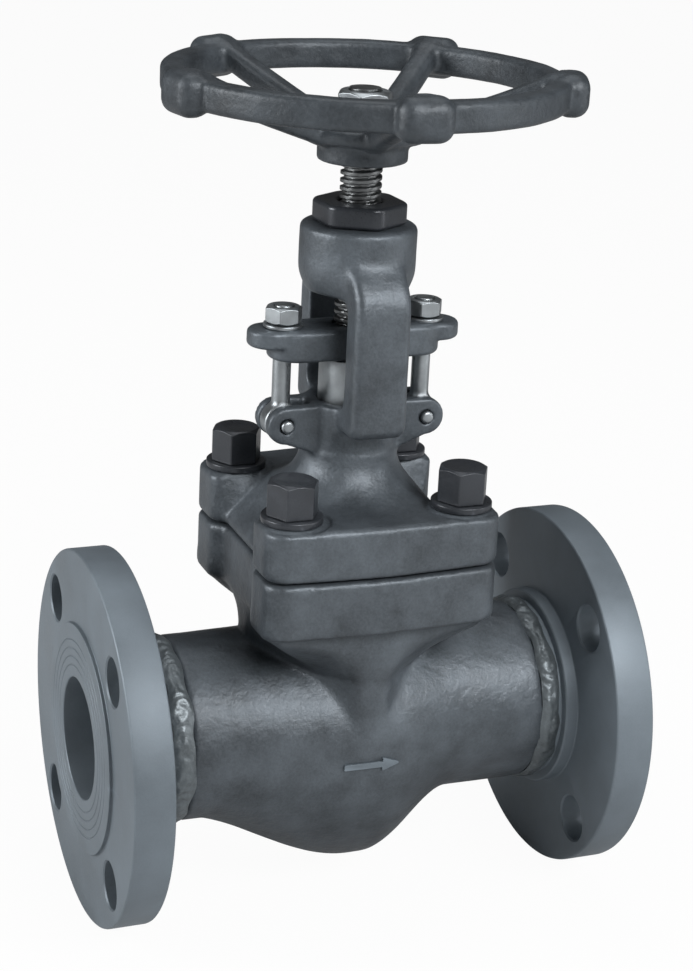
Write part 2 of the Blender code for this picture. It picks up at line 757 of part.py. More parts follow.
def side_slope(name, side):
    """The wedge taken off the bonnet's top between two lobes."""
    past = 0.6 * BONNET_T
    in_x, out_x = SIDE_SLOPE_IN_X, PLATE_SIDE_X + 1.0 * MM
    low = BONNET_TOP_Z - SIDE_SLOPE_DROP
    high = BONNET_TOP_Z + past
    outline = [(in_x, BONNET_TOP_Z), (out_x, low), (out_x, high), (in_x, high)]
    wedge = plate(name, [(side * x, z) for x, z in outline], 2 * RECESS_HALF_W + RECESS_RAMP)
    wedge.rotation_euler.x = math.pi / 2
    return wedge


def bonnet_bore(past):
    """Outer side of the hollow for the stem: yoke nut bore, stuffing box, stem bore, backseat."""
    window_z = (BOX_TOP_Z + HEAD_BOTTOM_Z) / 2
    nut_r = YOKE_NUT_R + GAP
    return [
        (0, HEAD_TOP_Z + past),
        (nut_r, HEAD_TOP_Z + past),
        (nut_r, window_z + past),
        (BOX_BORE_R, window_z),
        (BOX_BORE_R, BOX_FLOOR_Z),
        (STEM_BORE_R, BOX_FLOOR_Z),
        (STEM_BORE_R, BACKSEAT_Z + GAP),
        (STEM_LOW_R + past + GAP, SPIGOT_Z - past),
        (0, SPIGOT_Z - past),
    ]


def make_bonnet():
    bonnet = part(lobed_plate("bonnet", BONNET_BOTTOM_Z, BONNET_TOP_Z), FORGED)
    for name, side in (("inlet side slope", -1), ("outlet side slope", 1)):
        cut(bonnet, side_slope(name, side))
    join(bonnet, turned("bell", bell_profile(), MIDDLE_STEPS))
    join(bonnet, rod("spigot", SPIGOT_R, SPIGOT_Z, BONNET_BOTTOM_Z + 2.0 * MM, LARGE_STEPS))
    for name, side in (("front arm", -1), ("back arm", 1)):
        join(bonnet, yoke_arm(name, side))
    head = [
        (0, HEAD_TOP_Z),
        (HEAD_R - HEAD_EDGE, HEAD_TOP_Z),
        (HEAD_R, HEAD_TOP_Z - HEAD_EDGE),
        (HEAD_R, HEAD_BOTTOM_Z + HEAD_SKIRT_H),
        (HEAD_R - HEAD_SKIRT_IN, HEAD_BOTTOM_Z),
        (0, HEAD_BOTTOM_Z),
    ]
    join(bonnet, turned("yoke head", head, MIDDLE_STEPS))
    ear_y = EYE_T / 2 + GAP + EAR_T / 2
    for x_name, x_side in (("left", -1), ("right", 1)):
        for y_name, y_side in (("front", -1), ("back", 1)):
            join(bonnet, ear(f"{x_name} {y_name} ear", x_side, y_side * ear_y))

    past = 2.0 * MM
    hollow = turned("stem bore", bonnet_bore(past), MIDDLE_STEPS)
    hollow.rotation_euler.z = math.pi / MIDDLE_STEPS
    cut(bonnet, hollow)
    reach = EYE_T / 2 + GAP + EAR_T + past
    for x_name, x_side in (("left", -1), ("right", 1)):
        hole = rod(f"{x_name} pin hole", PIN_R + GAP, -reach, reach, SMALL_STEPS)
        hole.rotation_euler.x = math.pi / 2
        hole.location = (x_side * EYEBOLT_X, 0, PIN_Z)
        cut(bonnet, hole)
    for place, (x, y) in bolt_places().items():
        bottom, top = BONNET_BOTTOM_Z - past, BONNET_TOP_Z + past
        hole = rod(f"bolt hole {place}", BOLT_HOLE_R, bottom, top, SMALL_STEPS)
        hole.location = (x, y, 0)
        cut(bonnet, hole)


def make_bonnet_bolts():
    for place, (x, y) in bolt_places().items():
        bolt = part(hex_block(f"bonnet_bolt_{place}", BOLT_FLATS, BOLT_HEAD_Z, BOLT_HEAD_Z + BOLT_HEAD_H,
                              BOLT_CHAMFER), BLACKED)
        bolt.location = (x, y, 0)
        shank = rod(f"shank {place}", BOLT_R, BOLT_END_Z, BOLT_HEAD_Z + 1.0 * MM, SMALL_STEPS)
        shank.location = (x, y, 0)
        join(bolt, shank)
        washer = part(ring(f"bonnet_washer_{place}", WASHER_R, BOLT_HOLE_R, WASHER_Z, WASHER_Z + WASHER_T,
                           MIDDLE_STEPS), BLACKED)
        washer.location = (x, y, 0)


def make_packing():
    """A stack of square packing rings between the box floor and the follower."""
    floor = BOX_FLOOR_Z + GAP
    height = (FOLLOWER_Z - floor) / PACKING_RINGS - GAP
    for i in range(PACKING_RINGS):
        bottom = floor + i * (height + GAP)
        part(ring(f"packing_ring_{i + 1}", FOLLOWER_R, STEM_BORE_R, bottom, bottom + height), GRAPHITE)


def make_gland(gland):
    """The follower and the flange that presses it into the box, carried together."""
    follower = ring("gland_follower", FOLLOWER_R, STEM_BORE_R, FOLLOWER_Z, GLAND_BOTTOM_Z - GAP)
    part(follower, BRIGHT, gland)

    end = GLAND_HALF_L - GLAND_HALF_W
    outline = arc((end, 0), GLAND_HALF_W, -90, 90, 8) + arc((-end, 0), GLAND_HALF_W, 90, 270, 8)
    flange = part(bevelled(plate("gland_flange", outline, GLAND_T), GLAND_EDGE), FORGED, gland)
    flange.location.z = (GLAND_BOTTOM_Z + GLAND_TOP_Z) / 2
    past = 2.0 * MM
    tip_z = GLAND_TOP_Z - GLAND_TIP_T
    cut(flange, rod("gland stem hole", STEM_BORE_R, GLAND_BOTTOM_Z - past, GLAND_TOP_Z + past))
    for side in (-1, 1):
        xs = sorted((side * GLAND_TIP_X, side * (GLAND_HALF_L + past)))
        wide = GLAND_HALF_W + past
        cut(flange, box(f"gland tip {side}", (xs[0], -wide, GLAND_BOTTOM_Z - past), (xs[1], wide, tip_z)))
    for side in (-1, 1):
        hole = rod(f"eyebolt hole {side}", EYEBOLT_R + GLAND_HOLE_CLEAR, GLAND_BOTTOM_Z - past,
                   GLAND_TOP_Z + past, SMALL_STEPS)
        hole.location.x = side * EYEBOLT_X
        hole.rotation_euler.z = math.pi / SMALL_STEPS
        cut(flange, hole)


def make_eyebolts(gland):
    """Each eyebolt with its pin, washer and nut."""
    for name, side in (("left", -1), ("right", 1)):
        x = side * EYEBOLT_X
        bolt = part(rod(f"eyebolt_{name}", EYEBOLT_R, PIN_Z, EYEBOLT_TOP_Z, SMALL_STEPS), BRIGHT)
        bolt.location.x = x
        for label, radius, reach, combination in (("eye", EYE_R, EYE_T / 2, join),
                                                  ("eye hole", PIN_R + GAP, EYE_T, cut)):
            drum = rod(f"{name} {label}", radius, -reach, reach, SMALL_STEPS + 4)
            drum.rotation_euler.x = math.pi / 2
            drum.location = (x, 0, PIN_Z)
            combination(bolt, drum)

        reach = EYE_T / 2 + GAP + EAR_T + PIN_PROUD
        dome = 0.7 * PIN_R
        profile = [(0, reach), (dome, reach), (PIN_R, reach - PIN_PROUD), (PIN_R, PIN_PROUD - reach),
                   (dome, -reach), (0, -reach)]
        pin = part(turned(f"eyebolt_pin_{name}", profile, SMALL_STEPS), BRIGHT)
        pin.rotation_euler.x = math.pi / 2
        pin.location = (x, 0, PIN_Z)

        hole_r = EYEBOLT_R + GAP
        washer = part(ring(f"gland_washer_{name}", GLAND_WASHER_R, hole_r, GLAND_WASHER_Z,
                           GLAND_WASHER_Z + GLAND_WASHER_T, SMALL_STEPS + 4), BRIGHT, gland)
        washer.location.x = x
        nut_top = GLAND_NUT_Z + GLAND_NUT_H
        nut = hex_block(f"gland_nut_{name}", GLAND_NUT_FLATS, GLAND_NUT_Z, nut_top, GAP * 4)
        part(nut, BRIGHT, gland).location.x = x
        bore = rod(f"{name} nut bore", hole_r, GLAND_NUT_Z - GAP, nut_top + GAP, SMALL_STEPS)
        bore.location.x = x
        cut(nut, bore)


def rounded_hex_ring(flats, limit_radius, height, count=36):
    """A hexagon across flats whose corners end on a circle."""
    points = []
    for i in range(count):
        angle = 2 * math.pi * i / count
        from_flat = (angle + math.pi / 6) % (math.pi / 3) - math.pi / 6
        radius = min(limit_radius, flats / 2 / math.cos(from_flat))
        points.append((radius * math.cos(angle), radius * math.sin(angle), height))
    return points


def make_yoke_nut():
    """The threaded bush that the stem screws through, with a rounded hexagonal flange on the head."""
    rings = [rounded_hex_ring(YOKE_NUT_FLATS, YOKE_NUT_FLANGE_R, z) for z in
             (YOKE_NUT_FLANGE_Z, YOKE_NUT_TOP_Z - YOKE_NUT_CHAMFER)]
    rings.append(rounded_hex_ring(YOKE_NUT_FLATS - YOKE_NUT_CHAMFER, YOKE_NUT_FLANGE_R - YOKE_NUT_CHAMFER,
                                  YOKE_NUT_TOP_Z))
    nut = part(loft("yoke_nut", rings), BLACKED)
    nut.rotation_euler.z = YOKE_NUT_TURN
    join(nut, rod("yoke nut sleeve", YOKE_NUT_R, HEAD_BOTTOM_Z, YOKE_NUT_FLANGE_Z + 1.0 * MM))
    past = 2.0 * MM
    cut(nut, rod("yoke nut thread", STEM_BORE_R, HEAD_BOTTOM_Z - past, YOKE_NUT_TOP_Z + past))


def make_stem(spindle):
    """The stem from its head in the disc up to the thread for the wheel nut."""
    chamfer = 0.8 * MM
    profile = [
        (0, STEM_TOP_Z),
        (STEM_TOP_R - chamfer, STEM_TOP_Z),
        (STEM_TOP_R, STEM_TOP_Z - chamfer),
        (STEM_TOP_R, WHEEL_HUB_TOP_Z),
        (STEM_SQUARE * 0.4, WHEEL_HUB_TOP_Z),
        (STEM_SQUARE * 0.4, WHEEL_Z - GAP),
        (STEM_R, WHEEL_Z - GAP),
        (STEM_R, BACKSEAT_Z - BACKSEAT_GAP),
        (STEM_LOW_R, SPIGOT_Z - BACKSEAT_GAP),
        (STEM_LOW_R, STEM_FOOT_Z + STEM_HEAD_H),
        (STEM_HEAD_R, STEM_FOOT_Z + STEM_HEAD_H),
        (STEM_HEAD_R, STEM_FOOT_Z),
        (0, STEM_FOOT_Z),
    ]
    stem = part(turned("stem", profile, MIDDLE_STEPS), STEEL, spindle)
    half = STEM_SQUARE / 2
    overlap = 1.0 * MM
    join(stem, box("stem square", (-half, -half, WHEEL_Z - GAP - overlap), (half, half, WHEEL_HUB_TOP_Z)))


def make_disc(slider):
    """The disc with its socket for the stem head, and the nut that keeps the head in."""
    floor = DISC_Z + DISC_FLOOR
    nut_seat = DISC_NUT_Z - GAP
    rim = DISC_R - DISC_CHAMFER
    profile = [
        (0, floor),
        (STEM_HEAD_R + GAP, floor),
        (STEM_HEAD_R + GAP, nut_seat),
        (DISC_NUT_R + GAP, nut_seat),
        (DISC_NUT_R + GAP, DISC_TOP_Z),
        (rim, DISC_TOP_Z),
        (DISC_R, DISC_TOP_Z - DISC_CHAMFER),
        (DISC_R, DISC_Z + DISC_CHAMFER),
        (rim, DISC_Z),
        (0, DISC_Z),
    ]
    part(turned("disc", profile), STEEL, slider)

    hex_z = DISC_TOP_Z + GAP
    nut = part(hex_block("disc_nut", DISC_NUT_FLATS, hex_z, hex_z + DISC_NUT_HEX_H, GAP * 4), STEEL, slider)
    join(nut, rod("disc nut thread", DISC_NUT_R, DISC_NUT_Z, hex_z + 1.0 * MM))
    past = 2.0 * MM
    cut(nut, rod("disc nut bore", STEM_LOW_R + GAP, DISC_NUT_Z - past, hex_z + DISC_NUT_HEX_H + past))


def oval_section(centre_r, centre_z, half_w, half_h, count):
    """A closed rounded section that runs top to bottom on its outer side."""
    points = []
    for i in range(count):
        angle = math.pi / 2 - 2 * math.pi * i / count
        across, up = math.cos(angle), math.sin(angle)
        points.append((centre_r + half_w * math.copysign(abs(across) ** 0.7, across),
                       centre_z + half_h * math.copysign(abs(up) ** 0.7, up)))
    return points


def spoke(name, angle):
    """A flat spoke that sweeps up from the hub into the rim."""
    start_r, end_r = WHEEL_HUB_R * 0.7, RIM_R
    steps = 5
    rim_z = WHEEL_Z + RIM_RISE
    end_z = rim_z + RIM_HALF_H - SPOKE_T
    hub_z = WHEEL_Z + SPOKE_HUB_RISE
    rise = end_z - hub_z
    reach = end_r - WHEEL_HUB_R
    bend = (rise - SPOKE_SLOPE * reach) / reach ** 2
    turn = Matrix.Rotation(angle, 4, "Z")
    rings = []
    for i in range(steps + 1):
        radius = start_r + (end_r - start_r) * i / steps
        run = max(0.0, radius - WHEEL_HUB_R)
        low = hub_z + SPOKE_SLOPE * run + bend * run ** 2
        half, edge = SPOKE_W / 2, SPOKE_T / 4
        section = [(-half + edge, 0), (half - edge, 0), (half, edge), (half, SPOKE_T - edge),
                   (half - edge, SPOKE_T), (-half + edge, SPOKE_T), (-half, SPOKE_T - edge), (-half, edge)]
        rings.append([turn @ Vector((radius, y, low + z)) for y, z in section])
    return loft(name, rings)


def knob(name, angle):
    """A rounded grip lobe on the rim at the end of a spoke."""
    bm = bmesh.new()
    bmesh.ops.create_uvsphere(bm, u_segments=10, v_segments=6, radius=1.0)
    place = Matrix.Rotation(angle, 4, "Z") @ Matrix.Translation((KNOB_R, 0, WHEEL_Z + RIM_RISE))
    size = Matrix.Diagonal((KNOB_HALF_OUT, KNOB_HALF_W, KNOB_HALF_H, 1))
    bmesh.ops.transform(bm, verts=bm.verts, matrix=place @ size)
    mesh = bpy.data.meshes.new(name)
    bm.to_mesh(mesh)
    bm.free()
    mesh.shade_smooth()
    return mesh_object(name, mesh)


def make_handwheel(spindle):
    rim_z = WHEEL_Z + RIM_RISE
    section = oval_section(RIM_R, rim_z, RIM_HALF_W, RIM_HALF_H, 8)
    wheel = part(turned("handwheel", section, RIM_STEPS), CAST, spindle)
    hub = [
        (0, WHEEL_HUB_TOP_Z),
        (WHEEL_HUB_R - 2 * WHEEL_HUB_EDGE, WHEEL_HUB_TOP_Z),
        (WHEEL_HUB_R, WHEEL_HUB_TOP_Z - 2 * WHEEL_HUB_EDGE),
        (WHEEL_HUB_R, WHEEL_Z + WHEEL_HUB_EDGE),
        (WHEEL_HUB_R - WHEEL_HUB_EDGE, WHEEL_Z),
        (0, WHEEL_Z),
    ]
    spokes = [spoke(f"spoke {i + 1}", SPOKE_PHASE + 2 * math.pi * i / SPOKES) for i in range(SPOKES)]
    for arm in spokes:
        join(wheel, arm)
    join(wheel, turned("wheel hub", hub, MIDDLE_STEPS))
    for i in range(SPOKES):
        join(wheel, knob(f"knob {i + 1}", SPOKE_PHASE + 2 * math.pi * i / SPOKES))
    half = STEM_SQUARE / 2 + GAP
    past = 2.0 * MM
    cut(wheel, box("wheel square", (-half, -half, WHEEL_Z - past), (half, half, WHEEL_HUB_TOP_Z + past)))

    hole_r = STEM_TOP_R + GAP
    part(ring("handwheel_washer", WHEEL_WASHER_R, hole_r, WHEEL_WASHER_Z, WHEEL_WASHER_Z + WHEEL_WASHER_T),
         BRIGHT, spindle)
    nut_top = WHEEL_NUT_Z + WHEEL_NUT_H
    nut = hex_nut("handwheel_nut", WHEEL_NUT_FLATS, WHEEL_NUT_Z, nut_top, hole_r, WHEEL_NUT_CHAMFER)
    part(nut, BRIGHT, spindle)


def main():
    make_valve_body()
    for side, end_x, direction in (("inlet", INLET_END_X, -1), ("outlet", OUTLET_END_X, 1)):
        make_line_flange(f"{side}_flange", end_x, direction)
        make_weld(f"{side}_weld", end_x, direction)
    make_seat_ring()
    make_body_gasket()
    make_bonnet()
    make_bonnet_bolts()
    make_packing()
    make_yoke_nut()
    gland = carrier("gland_carrier", (0, 0, 0))
    make_gland(gland)
    make_eyebolts(gland)
    slider = carrier("disc_carrier", (0, 0, 0))
    make_disc(slider)
    spindle = carrier("stem_carrier", (0, 0, 0))
    spindle.parent = slider
    make_stem(spindle)
    make_handwheel(spindle)


main()
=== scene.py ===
import math

import bmesh
import bpy
from mathutils import Matrix, Vector, noise


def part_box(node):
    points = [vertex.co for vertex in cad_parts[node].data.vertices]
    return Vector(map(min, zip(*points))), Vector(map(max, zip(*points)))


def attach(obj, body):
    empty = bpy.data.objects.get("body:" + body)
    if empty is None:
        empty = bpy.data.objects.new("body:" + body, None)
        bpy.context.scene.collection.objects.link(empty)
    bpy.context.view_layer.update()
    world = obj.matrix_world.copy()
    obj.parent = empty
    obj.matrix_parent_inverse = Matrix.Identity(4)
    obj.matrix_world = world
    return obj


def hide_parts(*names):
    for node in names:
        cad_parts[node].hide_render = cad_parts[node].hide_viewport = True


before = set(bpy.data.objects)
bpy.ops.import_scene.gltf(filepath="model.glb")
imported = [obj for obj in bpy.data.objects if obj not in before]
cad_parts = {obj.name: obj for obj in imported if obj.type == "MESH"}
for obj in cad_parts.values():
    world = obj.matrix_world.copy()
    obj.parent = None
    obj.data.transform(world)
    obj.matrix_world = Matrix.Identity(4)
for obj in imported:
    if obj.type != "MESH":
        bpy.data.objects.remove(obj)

bl_info = {
    "name": "Globe valve looks",
    "version": (1, 0, 0),
    "blender": (4, 5, 0),
    "location": "View3D > Sidebar > Valve",
    "description": "Shapes and finishes of a flanged globe valve with an outside screw and yoke",
    "category": "Object",
}

MM = 0.001
TAU = 2 * math.pi
QUARTER_TURN = math.pi / 2
COS_45 = 0.7071


def mm(*values):
    """Millimetres in metres: a number for one value, a tuple for several."""
    metres = tuple(value * MM for value in values)
    return metres[0] if len(metres) == 1 else metres


def mm_rows(rows):
    return [mm(*row) for row in rows]


# Shared sizes. A drum is (radius, low, high); a corner of an outline is (radius, height, arc).

PIPE_R = mm(37.2)
WELD_IN, WELD_OUT = mm(72, 76.5)
BOLT_X, BOLT_Y = mm(35, 33.5)
EYEBOLT_X, PIN_Z, PIN_HOLE_R = mm(29.1, 126, 2.9)
STEM_R, STEM_HOLE_R = mm(8, 8.3)
SLEEVE_R, SLEEVE_TOP = mm(13, 203.6)

# Body

PLATE_SIDE, PLATE_FRONT, PLATE_BOW, PLATE_CORNER = mm(48, 50.6, 2.6, 8)
RECESS_X, RECESS_Y, RECESS_BLEND, LOBE_BLEND = mm(43, 21, 2, 3)
BELLY_IN, BELLY_RISE, BELLY_OUT, BELLY_FALL = mm(62, 65, 43, 35)
END_COS, END_SIN = 0.985, 0.173
NECK_FOOT, NECK_SPREAD, NECK_DIAGONAL, NECK_HALF_DEPTH = mm(29, 24, 46.8, 43.5)
NECK_LOW, NECK_HIGH, NECK_INSET = mm(-4, 58, 1)
FOOT_BLEND, DEPTH_BLEND, RUN_BLEND, FLANGE_BLEND = mm(3, 4, 3.5, 4)
FLANGE_EDGE = mm(1.8)
BODY_SWELL = (28.0, 0.9 * MM)
BODY_SWELL_TOP, BODY_SWELL_FADE = mm(72, 20)
BODY_BOX = mm_rows([(-76, -54, -66), (80, 54, 78)])
BODY_VOXEL = mm(1.25)
PASSAGES = (mm_rows([(-80, 0, 24.3), (-58, 0, 24.3), (-36, -26.4, 17), (-11, -36, 16), (1, -36, 16)]),
            mm_rows([(85, 0, 24.3), (58, 0, 24.3), (40, 12, 19), (22, 22, 16), (2, 24, 16)]))
PASSAGE_BLEND = mm(4)
PORT, SEAT_RECESS, CHAMBER = mm_rows([(17, -44, 9), (21.3, -3.3, 9), (24.5, 4.5, 90)])
GASKET_MIDDLE_R = mm(30.25)
GASKET_RECESS, BODY_BOLT_HOLE = mm_rows([(3.55, 72.3, 90), (6.3, 57, 90)])
ARROW = mm_rows([(-12, -1.3, 0.5), (4, -1.3, 0), (4, -3, 0.4), (12, 0, 0.5), (4, 3, 0.4), (4, 1.3, 0),
                 (-12, 1.3, 0.5)])
ARROW_ROOT, ARROW_PROUD, ARROW_DOWN, ARROW_EDGE, ARROW_RAY_FROM = mm(-3, 1.1, 6, 0.4, 90)

# Line flanges and welds

FLANGE_FACE, FLANGE_PLANE, FLANGE_BACK = mm(108.5, 106.9, 90.7)
FLANGE_OUTLINE = mm_rows([
    (24.3, 83, 0), (24.3, 108.5, 0.8), (46, 108.5, 0.4), (46, 106.9, 0.5), (75, 106.9, 1.1),
    (75, 90.7, 1.1), (41, 90.7, 0.8), (41, 85.2, 1.2), (37.2, 85.2, 0.3), (37.2, 83, 0)])
GROOVES_PAST_R = mm(25.2)
GROOVE_RADII_MM, GROOVE_HALF_MM, GROOVE_DEPTH = (29.2, 32.6, 36.0, 39.4), 0.4, 0.3 * MM
HOLE_R, HOLE_CIRCLE_R, HOLE_FLARE, FLARE_OUT, FLARE_IN = mm(9.5, 60.35, 3.6, 3, 0.6)
BEAD_AROUND, BEAD_ACROSS, BEAD_RIPPLES = 480, 17, 34
BEAD_MIDDLE, BEAD_INNER_R, BEAD_INNER_HALF, BEAD_SUNK, BEAD_LAG = mm(3.9, 34, 3, 0.35, 2.2)
BEAD_HALF_MM, BEAD_HALF_SWELL_MM = 4.3, 1.4
BEAD_CROWN_MM, CROWN_SWELL_MM, CROWN_SCALLOP_MM, CROWN_LUMP_MM = 1.3, 0.5, 0.35, 0.6
BEAD_ROUNDNESS, BEAD_LAG_R = 2.4, mm(37)
BEAD_ROOT = mm_rows([(34.5, 6.6), (24.3, 4.8), (24.3, 2.3), (34.5, 0.3)])

# Bonnet and yoke

SLOPE_X, SLOPE_BLEND, SLOPE_HALF_DEPTH, SLOPE_FADE = mm(26, 7, 24.5, 5)
SLOPE_FALL = 0.95
BONNET_EDGE = mm(2.6)
COVE_R, COVE_CENTRE_R, COVE_LOW = mm(18, 37, -4)
BOX_LOW, BOX_EDGE, BOX_BLEND = mm(92, 1.2, 2)
EAR_SPAN, EAR_R, EAR_GROWTH, EAR_DROP = mm(14, 7.5, 2.7, 2.6)
EAR_Y, EAR_HALF, EAR_EDGE, EAR_INNER_X, EAR_BLEND = mm(6.5, 2.5, 0.9, 8, 3)
SHOULDER_Y, SHOULDER_Z, SHOULDER_BLEND = mm(32, 180, 7)
SHOULDER_OUT, SHOULDER_UP, SHOULDER_LENGTH = 13.0, 11.0, 17.03
ARM_Y, ARM_HALF_DEPTH, ARM_Z, ARM_HALF_HEIGHT, ARM_CORNER = mm(22, 10, 158, 33, 5)
ARM_HALF_WIDTH, ARM_EDGE, ARM_BLEND = mm(11.3, 3.6, 6)
SKIRT_R, SKIRT_BLEND, HEAD_EDGE = mm(19.5, 2, 2.2)
SKIRT_COS, SKIRT_SIN = 0.92, 0.394
WINDOW_HALF_DEPTH, WINDOW_Z, WINDOW_HALF_HEIGHT, WINDOW_CORNER, WINDOW_BLEND = mm(20, 155.5, 21.5, 5, 2)
YOKE_BLEND = mm(2.5)
BONNET_SWELL = (45.0, 0.5 * MM)
BONNET_SWELL_FOOT, BONNET_SWELL_FADE = mm(78, 8)
BONNET_BOX = mm_rows([(-50, -53, 74), (50, 53, 205)])
BONNET_VOXEL = mm(0.85)
STUFFING_BORE, NUT_BORE = mm_rows([(13.3, 106, 150), (13.3, 150, 220)])
PIN_HOLE_FROM_X, BONNET_BOLT_HOLE_R = mm(4, 6.6)
RING_R, RING_HALF_WIDTH, RING_Z, RING_HALF_DEPTH, RING_EDGE = mm(13.9, 1.3, 98, 1.9, 0.3)

# Fasteners

CHAMFER_FLAT, CHAMFER_CORNER, CHAMFER_SLOPE = 0.46, 0.585, 0.62
DISH_FLOOR, DISH_RIM = 0.55, 0.7
BORE_FLARE, BORE_LEAD, BORE_PAST = mm(0.8, 0.5, 1)
BOLT_HEAD = mm(100.1, 113.6)
BOLT_DISH, BOLT_EDGE = mm(0.5, 0.5)
BOLT_SHANK = mm_rows([(0, 101), (6, 101), (6, 61.2), (5, 60.1), (0, 60.1)])
BOLT_WASHER = mm(12, 6.6, 97.3, 99.8, 0.5)
NUT_EDGE = mm(0.3)

# Gland

PLATE_MIDDLE_X, PLATE_MIDDLE_R, PLATE_TIP_X, PLATE_TIP_R = mm(24, 11, 34, 9.3)
PLATE_MIDDLE_LOW, PLATE_TIP_LOW, PLATE_TOP, PLATE_EDGE, PLATE_BLEND = mm(151.4, 156.6, 163.6, 1.8, 2)
PLATE_SWELL = (90.0, 0.3 * MM)
PLATE_STEM_HOLE_R, PLATE_BOLT_HOLE_R = mm(8.4, 4.1)
PLATE_BOX = mm_rows([(-45, -12.5, 149), (45, 12.5, 165)])
PLATE_VOXEL = mm(0.55)
FOLLOWER = mm_rows([(8.3, 132, 0), (8.3, 151, 0.3), (13, 151, 0.4), (13, 132, 0.3)])
SHANK = mm(3.6, 126, 172.6)
SHANK_EDGE, EYE_R, EYE_HALF, EYE_EDGE, EYE_BLEND = mm(0.5, 7.2, 3.7, 0.9, 3)
EYEBOLT_BOX = mm_rows([(-8.5, -5, 117), (8.5, 5, 174)])
EYEBOLT_VOXEL = mm(0.4)
PIN_R, PIN_HALF_LENGTH, PIN_EDGE = mm(2.6, 10.5, 1.2)
GLAND_WASHER = mm(7.8, 3.9, 163.9, 165.2, 0.3)
GLAND_NUT = mm(13, 165.5, 172, 3.9)

# Yoke nut and stem

BUSH_FLATS, BUSH_CORNER, BUSH_EDGE = mm(33, 6, 1.5)
BUSH_TURN = math.radians(33)
BUSH_HEAD, BUSH_BORE = mm(203.5, 212), mm(8.3, 170, 220)
SLEEVE_LOW = mm(177.2)
SHAFT = mm_rows([(0, 27.3), (11.6, 27.3), (11.6, 32.7), (9.6, 32.7),
                 (9.6, 71.4), (8, 73), (8, 160.5), (0, 160.5)])
SCREW_ENDS, SCREW_DEPTH = mm(160, 228), mm(1.35)
SQUARE_ENDS, SQUARE_HALF = mm(227, 241), mm(5.5)
TIP_R, TIP_ENDS, TIP_PITCH, TIP_DEPTH = mm(6), mm(240.5, 254.6), mm(1.75), mm(0.9)
THREAD_SIDES, RINGS_PER_PITCH, FLANK_START, FLANK_WIDTH = 48, 14, 0.28, 0.3
THREAD_FADE = mm(1.2)

# Handwheel

SPOKES, FIRST_SPOKE = 5, math.radians(-24.2)
RIM_HALF_WIDTH, RIM_HALF_HEIGHT, RIM_EDGE = mm(4.6, 5.6, 2.4)
SPOKE_FROM, SPOKE_Z, SPOKE_HALF_HEIGHT, SPOKE_EDGE = mm(17.8, 238.3, 4.9, 3.2)
SPOKE_RISE, SPOKE_BEND, SPOKE_LEAN = 0.33, 1.1, 0.93
SPOKE_INNER, SPOKE_OUTER, SPOKE_BLEND = mm(6, 73, 5)
TAPER_END, TAPER_LENGTH, TAPER = mm(40, 30, 0.5)
HUB_ENDS, HUB_EDGE, HUB_BLEND = mm(227.2, 241), mm(0.8), mm(2)
DISH, DISH_EDGE, DISH_BLEND = mm(22, 235, 241), mm(2.5), mm(4)
KNOB_HALF_OUT, KNOB_HALF_WIDTH, KNOB_HALF_HEIGHT, KNOB_EDGE, KNOB_BLEND = mm(6.5, 10.4, 8.1, 5.6, 2.5)
WHEEL_SWELL = (60.0, 0.5 * MM)
HUB_RECESS_R, WHEEL_SQUARE_HALF = mm(14, 5.8)
WHEEL_BOX = mm_rows([(-88, -88, 226), (88, 88, 267)])
WHEEL_VOXEL = mm(0.8)
WHEEL_WASHER = mm(12, 6.3, 241.3, 243.3, 0.4)
WHEEL_NUT = mm(19, 243.6, 253.6, 6.3)

# Finishes: darkest share of the colour, palest share for the edges, metallic, roughness, grain and lumps as
# (scale, height), scale of the mottling, and how much paler the sharp edges are: partly wear, partly a
# painted highlight

COATS = {
    "forged": (0.42, 2.3, 0.45, 0.47, (900.0, 0.0002), (150.0, 0.0006), 70.0, 0.35),
    "machined": (0.72, 1.5, 0.4, 0.55, (1500.0, 0.00004), (300.0, 0.00006), 45.0, 0.4),
    "cast": (0.45, 2.6, 0.35, 0.5, (650.0, 0.00025), (170.0, 0.0006), 70.0, 0.35),
    "weld": (0.5, 1.8, 0.55, 0.4, (800.0, 0.0002), (260.0, 0.0004), 70.0, 0.5),
    "blackened": (0.6, 3.5, 0.4, 0.34, (1200.0, 0.00005), (260.0, 0.0001), 70.0, 0.5),
}
GRAPHITE, GRAPHITE_DEEP = (0.06, 0.06, 0.065), (0.03, 0.03, 0.033)
INNER_PIECES = {"seat_ring": "stainless", "disc": "stainless", "disc_nut": "stainless",
                "body_gasket": "graphite", **{f"packing_ring_{i}": "graphite" for i in range(1, 6)}}

# Stage: lamps as (name, place, size, power), camera as fitted to the flanges

LAMPS = (("front softbox", (0.35, -1.15, 0.95), (0.9, 0.5), 24),
         ("left softbox", (-1.35, 0.15, 0.55), (0.6, 0.6), 19),
         ("top softbox", (0.1, 0.3, 1.5), (0.8, 0.8), 6),
         ("right softbox", (1.25, -0.7, 0.3), (0.4, 0.9), 5))
LIT_POINT = (0, 0, 0.08)
AMBIENT, FLOOR_WHITE = 0.07, 0.96
FLOOR_HALF, FLOOR_BELOW = 3.0, 0.0002
CAMERA_PLACE = (-0.311, -0.770, 0.388)
CAMERA_RIGHT = (0.9322, -0.3592, 0.0463)
CAMERA_UP = (0.0784, 0.3249, 0.9425)
CAMERA_AHEAD = (0.3535, 0.8749, -0.3310)
SENSOR_HEIGHT, LENS = 36.0, 82.2


